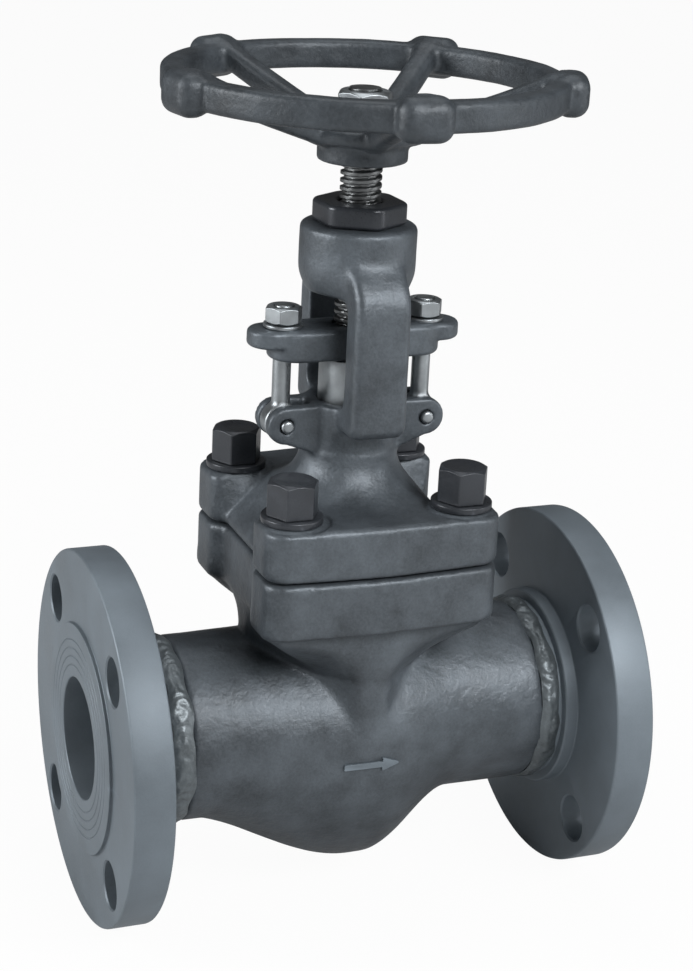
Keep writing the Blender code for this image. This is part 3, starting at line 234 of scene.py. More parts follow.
class Value:
    """A socket whose arithmetic adds Math nodes to the tree that it belongs to."""

    def __init__(self, graph, socket):
        self.graph = graph
        self.socket = socket

    def out(self, key):
        return Value(self.graph, self.socket.node.outputs[key])

    def __add__(self, other):
        return self.graph.maths("ADD", self, other)

    def __radd__(self, other):
        return self.graph.maths("ADD", other, self)

    def __sub__(self, other):
        return self.graph.maths("SUBTRACT", self, other)

    def __rsub__(self, other):
        return self.graph.maths("SUBTRACT", other, self)

    def __mul__(self, other):
        return self.graph.maths("MULTIPLY", self, other)

    def __rmul__(self, other):
        return self.graph.maths("MULTIPLY", other, self)

    def __truediv__(self, other):
        return self.graph.maths("DIVIDE", self, other)

    def __neg__(self):
        return self.graph.maths("MULTIPLY", self, -1.0)

    def __abs__(self):
        return self.graph.maths("ABSOLUTE", self)


class Graph:
    """A node tree, of a material or of geometry, that is written as expressions."""

    def __init__(self, tree):
        self.tree = tree

    def node(self, kind, settings=None, values=None):
        """Adds a node of a type: its settings first, then the values or links of its sockets."""
        node = self.tree.nodes.new(kind)
        for key, setting in (settings or {}).items():
            setattr(node, key, setting)
        for key, value in (values or {}).items():
            if isinstance(value, Value):
                self.tree.links.new(value.socket, node.inputs[key])
            else:
                node.inputs[key].default_value = value
        return Value(self, node.outputs[0]) if len(node.outputs) else node

    def maths(self, operation, *terms):
        return self.node("ShaderNodeMath", {"operation": operation}, dict(enumerate(terms)))

    def split(self, vector):
        parts = self.node("ShaderNodeSeparateXYZ", values={"Vector": vector})
        return parts.out("X"), parts.out("Y"), parts.out("Z")

    def least(self, first, second):
        return self.maths("MINIMUM", first, second)

    def most(self, first, second):
        return self.maths("MAXIMUM", first, second)

    def soft_least(self, first, second, reach):
        return self.maths("SMOOTH_MIN", first, second, reach)

    def soft_most(self, first, second, reach):
        return self.maths("SMOOTH_MAX", first, second, reach)

    def clamped(self, value, low=0.0, high=1.0):
        return self.least(self.most(value, low), high)

    def blend(self, share, first, second):
        return first + (second - first) * share

    def length(self, first, second):
        return self.maths("SQRT", first * first + second * second)

    def rounded_box(self, across, up, radius):
        """Distance to a box in a plane, from the distances past its sides, with rounded corners."""
        across = across + radius
        up = up + radius
        outside = self.length(self.most(across, 0.0), self.most(up, 0.0))
        return outside + self.least(self.most(across, up), 0.0) - radius

    def slab(self, outline, height, low, high, edge):
        """Distance to a flat piece between two heights, with rounded edges."""
        past = abs(height - (low + high) / 2) - (high - low) / 2
        return self.rounded_box(outline, past, edge)

    def drum(self, radial, height, size, edge=0.0):
        """Distance to a cylinder of (radius, low, high)."""
        radius, low, high = size
        return self.slab(radial - radius, height, low, high, edge)

    def mix_colour(self, share, first, second):
        mixed = self.node("ShaderNodeMix", {"data_type": "RGBA"}, {0: share, 6: first, 7: second})
        return mixed.out(2)

    def noise(self, place, scale, detail=2.0, roughness=0.5):
        return self.node("ShaderNodeTexNoise", values={"Vector": place, "Scale": scale, "Detail": detail,
                                                       "Roughness": roughness})


# Meshes

def new_object(name, mesh):
    obj = bpy.data.objects.new(name, mesh)
    bpy.context.scene.collection.objects.link(obj)
    return obj


def mesh_from(name, bm, smooth_below=32):
    """Closes a bmesh into a mesh whose edges are smooth below an angle in degrees."""
    mesh = bpy.data.meshes.new(name)
    bm.to_mesh(mesh)
    bm.free()
    soften_mesh(mesh, smooth_below)
    return mesh


def soften_mesh(mesh, smooth_below=32):
    mesh.shade_smooth()
    mesh.set_sharp_from_angle(angle=math.radians(smooth_below))


def settled(obj, smooth_below=32):
    """Turns an object's modifiers into its mesh; without an angle its normals stay as they are."""
    depsgraph = bpy.context.evaluated_depsgraph_get()
    mesh = bpy.data.meshes.new_from_object(obj.evaluated_get(depsgraph))
    obj.modifiers.clear()
    obj.data = mesh
    if smooth_below is not None:
        soften_mesh(mesh, smooth_below)
    return obj


def rounded_outline(corners, steps=4):
    """Points of an outline of (x, y, radius) corners, with an arc at each corner that has a radius."""
    points = []
    for i, (x, y, radius) in enumerate(corners):
        here = Vector((x, y))
        if radius == 0:
            points.append((x, y))
            continue
        before = (Vector(corners[i - 1][:2]) - here).normalized()
        after = (Vector(corners[(i + 1) % len(corners)][:2]) - here).normalized()
        half = before.angle(after) / 2
        centre = here + (before + after).normalized() * (radius / math.sin(half))
        start = here + before * (radius / math.tan(half)) - centre
        end = here + after * (radius / math.tan(half)) - centre
        first = math.atan2(start.y, start.x)
        sweep = (math.atan2(end.y, end.x) - first + math.pi) % TAU - math.pi
        for k in range(steps + 1):
            angle = first + sweep * k / steps
            points.append((centre.x + radius * math.cos(angle), centre.y + radius * math.sin(angle)))
    return points


def turned(name, profile, steps=64, smooth_below=32):
    """A turned piece about Z, from a profile of (radius, height) that is closed or ends on the axis."""
    bm = bmesh.new()
    rows = []
    for radius, height in profile:
        count = 1 if radius < 1e-6 else steps
        angles = [TAU * i / steps for i in range(count)]
        rows.append([bm.verts.new((radius * math.cos(a), radius * math.sin(a), height)) for a in angles])
    pairs = list(zip(rows, rows[1:]))
    if len(rows[0]) > 1:
        pairs.append((rows[-1], rows[0]))
    for first, second in pairs:
        for i in range(steps):
            j = (i + 1) % steps
            corners = [first[i % len(first)], first[j % len(first)],
                       second[j % len(second)], second[i % len(second)]]
            corners = list(dict.fromkeys(corners))
            if len(corners) > 2:
                bm.faces.new(corners)
    bmesh.ops.recalc_face_normals(bm, faces=bm.faces)
    return new_object(name, mesh_from(name, bm, smooth_below))


def prism(name, outline, low, high):
    """An outline in XY between two heights."""
    bm = bmesh.new()
    face = bm.faces.new([bm.verts.new((x, y, low)) for x, y in outline])
    risen = bmesh.ops.extrude_face_region(bm, geom=[face])
    top = [item for item in risen["geom"] if isinstance(item, bmesh.types.BMVert)]
    bmesh.ops.translate(bm, verts=top, vec=(0, 0, high - low))
    bmesh.ops.recalc_face_normals(bm, faces=bm.faces)
    return new_object(name, mesh_from(name, bm))


def moved(obj, matrix):
    """Moves an object's mesh, and leaves the object at the origin."""
    obj.data.transform(matrix)
    return obj


def along_x(obj, direction):
    """Lays a piece made about Z along X, facing one way."""
    return moved(obj, Matrix.Rotation(direction * math.pi / 2, 4, "Y"))


def along_y(obj, place):
    """Lays a piece made about Z along Y, at a place."""
    return moved(obj, Matrix.Translation(place) @ Matrix.Rotation(math.pi / 2, 4, "X"))


def combined(obj, others, operation, smooth_below=32):
    """An object after a Boolean with others, which are used up."""
    for other in others:
        modifier = obj.modifiers.new(operation, "BOOLEAN")
        modifier.operation = operation
        modifier.object = other
        modifier.solver = "EXACT"
    settled(obj, smooth_below)
    for other in others:
        bpy.data.objects.remove(other, do_unlink=True)
    return obj


def bevelled(obj, width, segments=2, angle=30):
    """Rounds the sharp edges of a piece and keeps its flats flat in the light."""
    sharp = obj.data.attributes.get("sharp_edge")
    if sharp:
        obj.data.attributes.remove(sharp)
    modifier = obj.modifiers.new("edges", "BEVEL")
    modifier.width = width
    modifier.segments = segments
    modifier.limit_method = "ANGLE"
    modifier.angle_limit = math.radians(angle)
    flats = obj.modifiers.new("flats", "WEIGHTED_NORMAL")
    flats.weight = 100
    return settled(obj, None)


def joined(obj, others):
    """One object with the meshes of several, each with the first one's material."""
    bm = bmesh.new()
    for source in (obj, *others):
        bm.from_mesh(source.data)
    obj.data = mesh_from(obj.name, bm)
    for other in others:
        bpy.data.objects.remove(other, do_unlink=True)
    return obj


def finished(obj, body, slot, replaces=(), finish=None):
    """Gives a piece its finish, which its slot names unless another is given, and its body, and hides the CAD
    nodes that it stands for.
    """
    obj.data.materials.clear()
    obj.data.materials.append(FINISHES[finish or slot])
    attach(obj, body)
    if replaces:
        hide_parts(*replaces)


# Geometry trees

def new_tree(name, sizes, takes_geometry=False):
    """A geometry tree with a named input for each size; returns its graph and the inputs."""
    tree = bpy.data.node_groups.new(name, "GeometryNodeTree")
    if takes_geometry:
        tree.interface.new_socket("Piece", in_out="INPUT", socket_type="NodeSocketGeometry")
    for label in sizes:
        tree.interface.new_socket(label, in_out="INPUT", socket_type="NodeSocketFloat")
    tree.interface.new_socket("Result", in_out="OUTPUT", socket_type="NodeSocketGeometry")
    graph = Graph(tree)
    source = graph.node("NodeGroupInput")
    size = {label: source.out(label) for label in sizes}
    if takes_geometry:
        size["Piece"] = source.out("Piece")
    return graph, size


def end_tree(graph, geometry, material):
    """Ends a tree in Realize Instances and Set Material."""
    real = graph.node("GeometryNodeRealizeInstances", values={"Geometry": geometry})
    painted = graph.node("GeometryNodeSetMaterial", values={"Geometry": real, "Material": material})
    graph.node("NodeGroupOutput", values={"Result": painted})


def baked(obj, graph, sizes, smooth_below=180):
    """Runs a tree on an object with its sizes and keeps the result as the object's mesh."""
    modifier = obj.modifiers.new("rule", "NODES")
    modifier.node_group = graph.tree
    for item in graph.tree.interface.items_tree:
        if item.in_out == "INPUT" and item.name in sizes:
            modifier[item.identifier] = sizes[item.name]
    return settled(obj, smooth_below)


def field_piece(name, box, voxel, sizes, rule, finish):
    """A solid whose surface lies where a rule gives a distance of zero, within a box."""
    low, high = box
    graph, size = new_tree(f"{name} rule", sizes)
    place = graph.node("GeometryNodeInputPosition")
    distance = rule(graph, place, size)
    counts = [math.ceil((b - a) / voxel) + 1 for a, b in zip(low, high)]
    high = [a + (count - 1) * voxel for a, count in zip(low, counts)]
    volume = graph.node("GeometryNodeVolumeCube", values={
        "Density": 1.0 - distance / voxel, "Background": -20.0, "Min": low, "Max": high,
        "Resolution X": counts[0], "Resolution Y": counts[1], "Resolution Z": counts[2]})
    skin = graph.node("GeometryNodeVolumeToMesh", {"resolution_mode": "GRID"},
                      {"Volume": volume, "Threshold": 1.0, "Adaptivity": 0.0})
    eased = graph.node("GeometryNodeBlurAttribute", {"data_type": "FLOAT_VECTOR"},
                       {"Value": place, "Iterations": 1, "Weight": 0.6})
    skin = graph.node("GeometryNodeSetPosition", values={"Geometry": skin, "Position": eased})
    end_tree(graph, skin, FINISHES[finish])
    holder = new_object(name, bpy.data.meshes.new(name))
    return baked(holder, graph, sizes)


# Finishes

def new_finish(name):
    material = bpy.data.materials.new(name)
    material.use_nodes = True
    graph = Graph(material.node_tree)
    shader = material.node_tree.nodes["Principled BSDF"]
    place = graph.node("ShaderNodeTexCoord").out("Object")
    return material, graph, shader, place


def link(graph, value, shader, key):
    graph.tree.links.new(value.socket, shader.inputs[key])


def bumped(graph, shader, layers):
    """Chains Bump nodes, each from a (height, distance in metres, strength)."""
    normal = None
    for height, distance, strength in layers:
        values = {"Height": height, "Distance": distance, "Strength": strength}
        if normal is not None:
            values["Normal"] = normal
        normal = graph.node("ShaderNodeBump", values=values)
    link(graph, normal, shader, "Normal")


def coated_metal(name, colour, darkest, palest, metallic, roughness, grain, lumps, mottle, edge_wear_and_highlight):
    """Metal under a thin coat: mottled colour, fine grain, soft lumps, and sharp edges painted paler, partly
    as worn coat and partly as a painted highlight.
    """
    material, graph, shader, place = new_finish(name)
    cloud = graph.noise(place, mottle, 5.0, 0.6)
    patches = graph.noise(place, mottle * 0.28, 3.0, 0.5)
    fine = graph.noise(place, grain[0], 3.0, 0.65)
    soft = graph.noise(place, lumps[0], 2.0, 0.5)
    share = graph.clamped((cloud - 0.5) * 1.6 + (patches - 0.5) * 1.4 + (fine - 0.5) * 0.9 + 0.5)
    deep, wear_and_highlight_colour = [c * darkest for c in colour], [c * palest for c in colour]
    tone = graph.mix_colour(share, (*deep, 1.0), (*colour, 1.0))
    # Sharp edges are painted paler: partly coat worn off, partly a painted highlight where edges catch the
    # light.
    edge = graph.node("ShaderNodeNewGeometry").out("Pointiness")
    wear_and_edge_highlight = graph.clamped((edge - 0.54) * 9.0 + (cloud - 0.55) * 0.8) * edge_wear_and_highlight
    tone = graph.mix_colour(wear_and_edge_highlight, tone, (*wear_and_highlight_colour, 1.0))
    link(graph, tone, shader, "Base Color")
    shader.inputs["Metallic"].default_value = metallic
    gloss = roughness + (fine - 0.5) * 0.3 + (cloud - 0.5) * 0.2
    link(graph, graph.clamped(gloss, 0.05, 1.0), shader, "Roughness")
    bumped(graph, shader, [(soft, lumps[1], 0.8), (fine, grain[1], 0.7)])
    return material


def bright_metal(name, colour, deep, roughness, scratch=(900.0, 0.00004), turned_marks=False, metallic=1.0):
    """Bare or plated metal: faint clouds, fine scratches, and marks of turning about Z."""
    material, graph, shader, place = new_finish(name)
    cloud = graph.noise(place, 160.0, 4.0, 0.6)
    x, y, z = graph.split(place)
    fine = graph.noise(place, scratch[0], 2.0, 0.6)
    tone = graph.mix_colour(graph.clamped((cloud - 0.5) * 2.2 + 0.5), (*deep, 1.0), (*colour, 1.0))
    link(graph, tone, shader, "Base Color")
    shader.inputs["Metallic"].default_value = metallic
    gloss = roughness + (cloud - 0.5) * 0.3 + (fine - 0.5) * 0.12
    link(graph, graph.clamped(gloss, 0.05, 1.0), shader, "Roughness")
    layers = [(fine, scratch[1], 0.6)]
    if turned_marks:
        lines = graph.node("ShaderNodeCombineXYZ", values={"X": graph.length(x, y), "Y": 0.0, "Z": z})
        layers.append((graph.noise(lines, 2600.0, 2.0, 0.6), 0.00003, 0.6))
    bumped(graph, shader, layers)
    return material


def make_finishes(colours):
    """All the finishes of the valve, by the name of a material slot."""
    finishes = {name: coated_metal(name, getattr(colours, name), *coat) for name, coat in COATS.items()}
    zinc, steel = colours.zinc, colours.stem
    finishes["zinc"] = bright_metal("zinc", zinc, [c * 0.68 for c in zinc], 0.42)
    dim_steel = [c * 0.45 for c in steel]
    finishes["stainless"] = bright_metal("stainless", steel, dim_steel, 0.4, turned_marks=True)
    finishes["graphite"] = bright_metal("graphite", GRAPHITE, GRAPHITE_DEEP, 0.6, (700.0, 0.00008), True, 0.2)
    return finishes


FINISHES = {}


# Settings

def length_property(label, description, default):
    return bpy.props.FloatProperty(name=label, description=description, default=default, unit="LENGTH",
                                   subtype="DISTANCE", precision=4)


def colour_property(label, description, default):
    return bpy.props.FloatVectorProperty(name=label, description=description, default=default, size=3,
                                         subtype="COLOR", min=0.0, max=1.0)


class ValveColours(bpy.types.PropertyGroup):
    """Base colours of the finishes."""

    forged: colour_property("Forged", "Coat on body, bonnet and gland flange", (0.105, 0.123, 0.141))
    machined: colour_property("Machined", "Coat on the line flanges", (0.158, 0.190, 0.218))
    cast: colour_property("Cast", "Coat on the handwheel", (0.058, 0.069, 0.08))
    weld: colour_property("Weld", "Weld beads", (0.16, 0.185, 0.20))
    blackened: colour_property("Blackened", "Bonnet bolts, washers and the yoke nut", (0.042, 0.047, 0.055))
    zinc: colour_property("Zinc", "Gland bolts, nuts, pins and the wheel nut", (0.38, 0.41, 0.43))
    stem: colour_property("Stem", "Oiled steel of the stem", (0.22, 0.23, 0.235))


class BodySettings(bpy.types.PropertyGroup):
    """Sizes of the forged body."""

    pipe_radius: length_property("Pipe radius", "Outer radius of the run at the welds", PIPE_R)
    belly_depth: length_property("Belly depth", "Depth of the belly below the flow axis", 64 * MM)
    belly_half_width: length_property("Belly half width", "Half width of the belly", 42 * MM)
    neck_radius: length_property("Neck radius", "Radius that the neck's foot stays within", 41.5 * MM)
    flange_bottom: length_property("Flange underside", "Height of the body flange's underside", 53 * MM)
    flange_top: length_property("Flange top", "Height of the body flange's top", 75.6 * MM)


class BonnetSettings(bpy.types.PropertyGroup):
    """Sizes of the bonnet with its yoke."""

    plate_bottom: length_property("Plate bottom", "Height of the bonnet plate's underside", 76.4 * MM)
    plate_top: length_property("Plate top", "Height of the bonnet plate's top", 97 * MM)
    box_radius: length_property("Box radius", "Outer radius of the stuffing box", 18.5 * MM)
    box_top: length_property("Box top", "Height of the stuffing box's top", 134 * MM)
    head_radius: length_property("Head radius", "Radius of the yoke head", 22.5 * MM)
    head_bottom: length_property("Head underside", "Height of the yoke head's underside", 177 * MM)
    head_top: length_property("Head top", "Height of the yoke head's top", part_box("bonnet")[1].z)


class WheelSettings(bpy.types.PropertyGroup):
    """Sizes of the handwheel."""

    rim_radius: length_property("Rim radius", "Radius of the middle of the rim", 72 * MM)
    rim_height: length_property("Rim height", "Height of the middle of the rim", 256.3 * MM)
    hub_radius: length_property("Hub radius", "Radius of the hub", 17.3 * MM)
    knob_radius: length_property("Lobe radius", "Radius at which the grip lobes stand", 76.8 * MM)
    spoke_width: length_property("Spoke width", "Width of a spoke", 9.4 * MM)


class FastenerSettings(bpy.types.PropertyGroup):
    """Sizes of bolts, nuts and washers."""

    bolt_x: length_property("Bolt X", "Half the distance between bonnet bolts along the flow", BOLT_X)
    bolt_y: length_property("Bolt Y", "Half the distance between bonnet bolts across the flow", BOLT_Y)
    bolt_flats: length_property("Bolt flats", "Width across flats of a bonnet bolt", 18 * MM)
    eyebolt_x: length_property("Eyebolt X", "Distance of an eyebolt from the stem", EYEBOLT_X)
    thread_pitch: length_property("Stem pitch", "Pitch of the stem's thread", 3 * MM)


# Forged body

def plate_outline_distance(graph, x, y):
    """Distance to the four-lobed outline that the body flange and the bonnet share."""
    across, deep = abs(x), abs(y)
    share = across / (PLATE_SIDE - PLATE_CORNER)
    front = deep - PLATE_FRONT + (share * 0.5 + 0.5) * share * PLATE_BOW
    box = graph.rounded_box(across - PLATE_SIDE, front, PLATE_CORNER)
    slant = (deep - RECESS_Y - across + RECESS_X) * COS_45
    recess = graph.soft_most(RECESS_X - across, slant, RECESS_BLEND)
    return graph.soft_most(box, -recess, LOBE_BLEND)


def wavy(graph, place, scale, height):
    """A slow swell of the surface, as a hammered forging has."""
    return (graph.noise(place, scale, 2.0, 0.5) - 0.5) * height


def body_rule(graph, place, size):
    """The body: run, belly, neck and flange, less the flow passages and the threaded holes."""
    x, y, z = graph.split(place)
    pipe, depth = size["Pipe radius"], size["Belly depth"]
    wave = graph.maths("SINE", graph.clamped((x + BELLY_IN) / BELLY_RISE) * QUARTER_TURN)
    fall = graph.maths("SINE", graph.clamped((BELLY_OUT - x) / BELLY_FALL) * QUARTER_TURN)
    share = graph.least((wave + wave * wave) * 0.5, fall * fall)
    half_width = graph.blend(share, pipe, size["Belly half width"])
    down = graph.blend(share, pipe, depth)
    below = graph.maths("LESS_THAN", z, 0.0)
    height = graph.blend(below, pipe, down)
    reach = graph.length(y, z)
    ratio = graph.most(graph.length(y / half_width, z / height), 0.02)
    run = reach - reach / ratio
    run = graph.most(run, (x - WELD_OUT) * END_COS + (reach - pipe) * END_SIN)
    run = graph.most(run, (-WELD_IN - x) * END_COS + (reach - pipe) * END_SIN)

    outline = plate_outline_distance(graph, x, y)
    radial = graph.length(x, y)
    spread = graph.clamped((z - NECK_FOOT) / NECK_SPREAD)
    corners = (abs(x) + abs(y) - NECK_DIAGONAL) * COS_45
    foot = graph.soft_most(corners, radial - size["Neck radius"], FOOT_BLEND)
    neck = graph.blend(spread, foot, outline + NECK_INSET)
    neck = graph.soft_most(neck, abs(y) - NECK_HALF_DEPTH, DEPTH_BLEND)
    neck = graph.most(graph.most(neck, z - NECK_HIGH), NECK_LOW - z)
    flange = graph.slab(outline, z, size["Flange underside"], size["Flange top"], FLANGE_EDGE)
    solid = graph.soft_least(run, neck, RUN_BLEND)
    solid = graph.soft_least(solid, flange, FLANGE_BLEND)
    swell = wavy(graph, place, *BODY_SWELL)
    solid = solid + swell * graph.clamped((BODY_SWELL_TOP - z) / BODY_SWELL_FADE)
    return graph.most(solid, -body_cavity(graph, x, y, z, radial))


def cone_run(graph, p, first, second):
    """Distance to a round passage that changes size between two stations of (x, z, radius)."""
    x, y, z = p
    dx, dz = second[0] - first[0], second[1] - first[1]
    share = graph.clamped(((x - first[0]) * dx + (z - first[1]) * dz) / (dx * dx + dz * dz))
    off_x = x - share * dx - first[0]
    off_z = z - share * dz - first[1]
    off = graph.maths("SQRT", off_x * off_x + y * y + off_z * off_z)
    return off - share * (second[2] - first[2]) - first[2]


def body_cavity(graph, x, y, z, radial):
    """Distance to the hollow of the body."""
    hollow = None
    for path in PASSAGES:
        for first, second in zip(path, path[1:]):
            piece = cone_run(graph, (x, y, z), first, second)
            hollow = piece if hollow is None else graph.soft_least(hollow, piece, PASSAGE_BLEND)
    for size in (PORT, SEAT_RECESS, CHAMBER):
        hollow = graph.least(hollow, graph.drum(radial, z, size))
    gasket = graph.drum(abs(radial - GASKET_MIDDLE_R), z, GASKET_RECESS)
    holes = graph.drum(graph.length(abs(x) - BOLT_X, abs(y) - BOLT_Y), z, BODY_BOLT_HOLE)
    return graph.least(graph.least(hollow, gasket), holes)


def flow_arrow(name, side, body):
    """A raised arrow on the side of the body, from inlet to outlet, that follows the surface."""
    arrow = bevelled(prism(name, rounded_outline(ARROW, 3), ARROW_ROOT, ARROW_PROUD), ARROW_EDGE, 2)
    for vertex in arrow.data.vertices:
        x, up, proud = vertex.co
        z = up - ARROW_DOWN
        place = body.ray_cast((x, side * ARROW_RAY_FROM, z), (0, -side, 0))[1]
        vertex.co = (x, place.y + side * proud, z)
    if side > 0:
        arrow.data.flip_normals()
    return arrow


class MakeBody(bpy.types.Operator):
    """Makes the forged body with its neck, belly, flange and flow arrows."""

    bl_idname = "globe_valve.make_body"
    bl_label = "Forged body"

    def execute(self, context):
        s = context.scene.valve_body
        sizes = {"Pipe radius": s.pipe_radius, "Belly depth": s.belly_depth,
                 "Belly half width": s.belly_half_width, "Neck radius": s.neck_radius,
                 "Flange underside": s.flange_bottom, "Flange top": s.flange_top}
        body = field_piece("body_forging", BODY_BOX, BODY_VOXEL, sizes, body_rule, "forged")
        finished(body, "valve", "forged", ["valve_body"])
        for name, side in (("flow_arrow_front", -1), ("flow_arrow_back", 1)):
            finished(flow_arrow(name, side, body), "valve", "forged", finish="machined")
        return {"FINISHED"}


# Line flanges and welds

def line_flange(name, direction):
    """A raised-face flange with its turned rings, hub and four countersunk holes."""
    profile = rounded_outline(FLANGE_OUTLINE, 3)
    start = next(i for i, (r, h) in enumerate(profile) if r > GROOVES_PAST_R and abs(h - FLANGE_FACE) < 1e-7)
    grooves = []
    for radius in GROOVE_RADII_MM:
        grooves += [((radius - GROOVE_HALF_MM) * MM, FLANGE_FACE), (radius * MM, FLANGE_FACE - GROOVE_DEPTH),
                    ((radius + GROOVE_HALF_MM) * MM, FLANGE_FACE)]
    profile[start:start] = grooves
    flange = turned(name, profile, 160, 25)
    out, back = FLANGE_PLANE + FLARE_OUT, FLANGE_BACK - FLARE_OUT
    hole = [(0, out), (HOLE_R + HOLE_FLARE, out), (HOLE_R, FLANGE_PLANE - FLARE_IN),
            (HOLE_R, FLANGE_BACK + FLARE_IN), (HOLE_R + HOLE_FLARE, back), (0, back)]
    holes = []
    for i in range(4):
        angle = TAU * (i + 0.5) / 4
        place = (HOLE_CIRCLE_R * math.cos(angle), HOLE_CIRCLE_R * math.sin(angle), 0)
        holes.append(moved(turned(f"{name} hole {i}", hole, 48), Matrix.Translation(place)))
    combined(flange, holes, "DIFFERENCE", 25)
    return along_x(flange, direction)


def weld_bead(name, end_x, direction, seed):
    """A hand-laid weld bead: overlapping ripples of uneven height and width round the pipe."""
    bm = bmesh.new()
    middle = end_x + BEAD_MIDDLE
    rows = []
    for i in range(BEAD_AROUND):
        angle = TAU * i / BEAD_AROUND
        spot = Vector((math.cos(angle), math.sin(angle), seed))
        swell = noise.noise(spot * 3.1)
        drift = noise.noise(spot * 2.3 + Vector((7.0, 0.0, 0.0)))
        step = (angle * BEAD_RIPPLES / TAU + 1.8 * noise.noise(spot * 4.3)) % 1.0
        scallop = 0.5 + 0.5 * math.cos(TAU * step)
        half = (BEAD_HALF_MM + BEAD_HALF_SWELL_MM * swell) * MM
        row = []
        for j in range(BEAD_ACROSS):
            share = j / (BEAD_ACROSS - 1) * 2 - 1
            lump = noise.noise(Vector((spot.x * 11, spot.y * 11, share * 1.6 + seed)))
            crown = (BEAD_CROWN_MM + CROWN_SWELL_MM * swell + CROWN_SCALLOP_MM * scallop * (1 - share * share)
                     + CROWN_LUMP_MM * lump) * MM
            radius = PIPE_R + (crown * (1 - abs(share) ** BEAD_ROUNDNESS) - BEAD_SUNK)
            turn = angle - (share * share) * BEAD_LAG / BEAD_LAG_R
            row.append(bm.verts.new((radius * math.cos(turn), radius * math.sin(turn),
                                     middle + drift * MM + share * half)))
        for z in (middle + BEAD_INNER_HALF, middle - BEAD_INNER_HALF):
            row.append(bm.verts.new((BEAD_INNER_R * math.cos(angle), BEAD_INNER_R * math.sin(angle), z)))
        rows.append(row)
    for i in range(BEAD_AROUND):
        first, second = rows[i], rows[(i + 1) % BEAD_AROUND]
        for j in range(len(first)):
            k = (j + 1) % len(first)
            bm.faces.new((first[j], second[j], second[k], first[k]))
    bmesh.ops.recalc_face_normals(bm, faces=bm.faces)
    bead = new_object(name, mesh_from(name, bm, 60))
    root = turned(f"{name} root", [(r, end_x + x) for r, x in BEAD_ROOT], 96)
    return along_x(joined(bead, [root]), direction)


class MakeFlanges(bpy.types.Operator):
    """Makes the two line flanges and the weld beads that hold them."""

    bl_idname = "globe_valve.make_flanges"
    bl_label = "Line flanges and welds"

    def execute(self, context):
        for side, end_x, direction, seed in (("inlet", WELD_IN, -1, 1.3), ("outlet", WELD_OUT, 1, 2.9)):
            flange = line_flange(f"{side}_line_flange", direction)
            finished(flange, "valve", "machined", [f"{side}_flange"])
            bead = weld_bead(f"{side}_weld_bead", end_x, direction, seed)
            finished(bead, "valve", "weld", [f"{side}_weld"])
        return {"FINISHED"}


# Bonnet and yoke

def bonnet_rule(graph, place, size):
    """The bonnet: plate with side slopes, bell, stuffing box, ears, arms and yoke head."""
    x, y, z = graph.split(place)
    across, deep = abs(x), abs(y)
    radial = graph.length(x, y)
    outline = plate_outline_distance(graph, x, y)
    between = graph.clamped((SLOPE_HALF_DEPTH - deep) / SLOPE_FADE)
    between = between * between * (3.0 - between * 2.0)
    fall = graph.soft_most(across - SLOPE_X, 0.0, SLOPE_BLEND) * SLOPE_FALL * between
    above = z - size["Plate top"] + fall
    plate = graph.rounded_box(outline, graph.most(above, size["Plate bottom"] - z), BONNET_EDGE)
    cove_out, cove_up = radial - COVE_CENTRE_R, above - COVE_R
    cove = graph.most(COVE_R - graph.length(cove_out, cove_up), graph.most(cove_out, cove_up))
    cove = graph.most(cove, COVE_LOW - above)
    box = graph.slab(radial - size["Box radius"], z, BOX_LOW, size["Box top"], BOX_EDGE)
    solid = graph.soft_least(graph.least(plate, cove), box, BOX_BLEND)

    share = graph.clamped((EYEBOLT_X - across) / EAR_SPAN)
    ear = graph.length(across - EYEBOLT_X + share * EAR_SPAN, z - PIN_Z + share * EAR_DROP)
    ear = ear - EAR_R - share * EAR_GROWTH
    ears = graph.rounded_box(ear, abs(deep - EAR_Y) - EAR_HALF, EAR_EDGE)
    ears = graph.most(ears, EAR_INNER_X - across)
    solid = graph.soft_least(solid, ears, EAR_BLEND)

    shoulder = (deep - SHOULDER_Y) * SHOULDER_OUT + (z - SHOULDER_Z) * SHOULDER_UP
    face = graph.rounded_box(abs(deep - ARM_Y) - ARM_HALF_DEPTH, abs(z - ARM_Z) - ARM_HALF_HEIGHT, ARM_CORNER)
    face = graph.soft_most(face, shoulder / SHOULDER_LENGTH, SHOULDER_BLEND)
    arms = graph.rounded_box(face, across - ARM_HALF_WIDTH, ARM_EDGE)
    base, crest = size["Head underside"], size["Head top"]
    skirt = (radial - SKIRT_R) * SKIRT_COS - (z - base) * SKIRT_SIN
    head = graph.slab(radial - size["Head radius"], z, base, crest, HEAD_EDGE)
    yoke = graph.soft_least(arms, graph.soft_most(head, skirt, SKIRT_BLEND), ARM_BLEND)
    window = abs(z - WINDOW_Z) - WINDOW_HALF_HEIGHT
    window = graph.rounded_box(deep - WINDOW_HALF_DEPTH, window, WINDOW_CORNER)
    yoke = graph.soft_most(yoke, -window, WINDOW_BLEND)
    solid = graph.soft_least(solid, yoke, YOKE_BLEND)
    swell = wavy(graph, place, *BONNET_SWELL)
    solid = solid + swell * graph.clamped((z - BONNET_SWELL_FOOT) / BONNET_SWELL_FADE)
    return graph.most(solid, -bonnet_hollow(graph, x, y, z, radial))


def bonnet_hollow(graph, x, y, z, radial):
    """Distance to the bores of the bonnet: stem, stuffing box, yoke nut, pins and bolts."""
    across, deep = abs(x), abs(y)
    pin = graph.most(graph.length(across - EYEBOLT_X, z - PIN_Z) - PIN_HOLE_R, PIN_HOLE_FROM_X - across)
    apart = graph.length(across - BOLT_X, deep - BOLT_Y)
    ring = abs(apart - RING_R) - RING_HALF_WIDTH
    ring = graph.rounded_box(ring, abs(z - RING_Z) - RING_HALF_DEPTH, RING_EDGE)
    hollow = graph.least(radial - STEM_HOLE_R, graph.drum(radial, z, STUFFING_BORE))
    for other in (graph.drum(radial, z, NUT_BORE), pin, apart - BONNET_BOLT_HOLE_R, ring):
        hollow = graph.least(hollow, other)
    return hollow


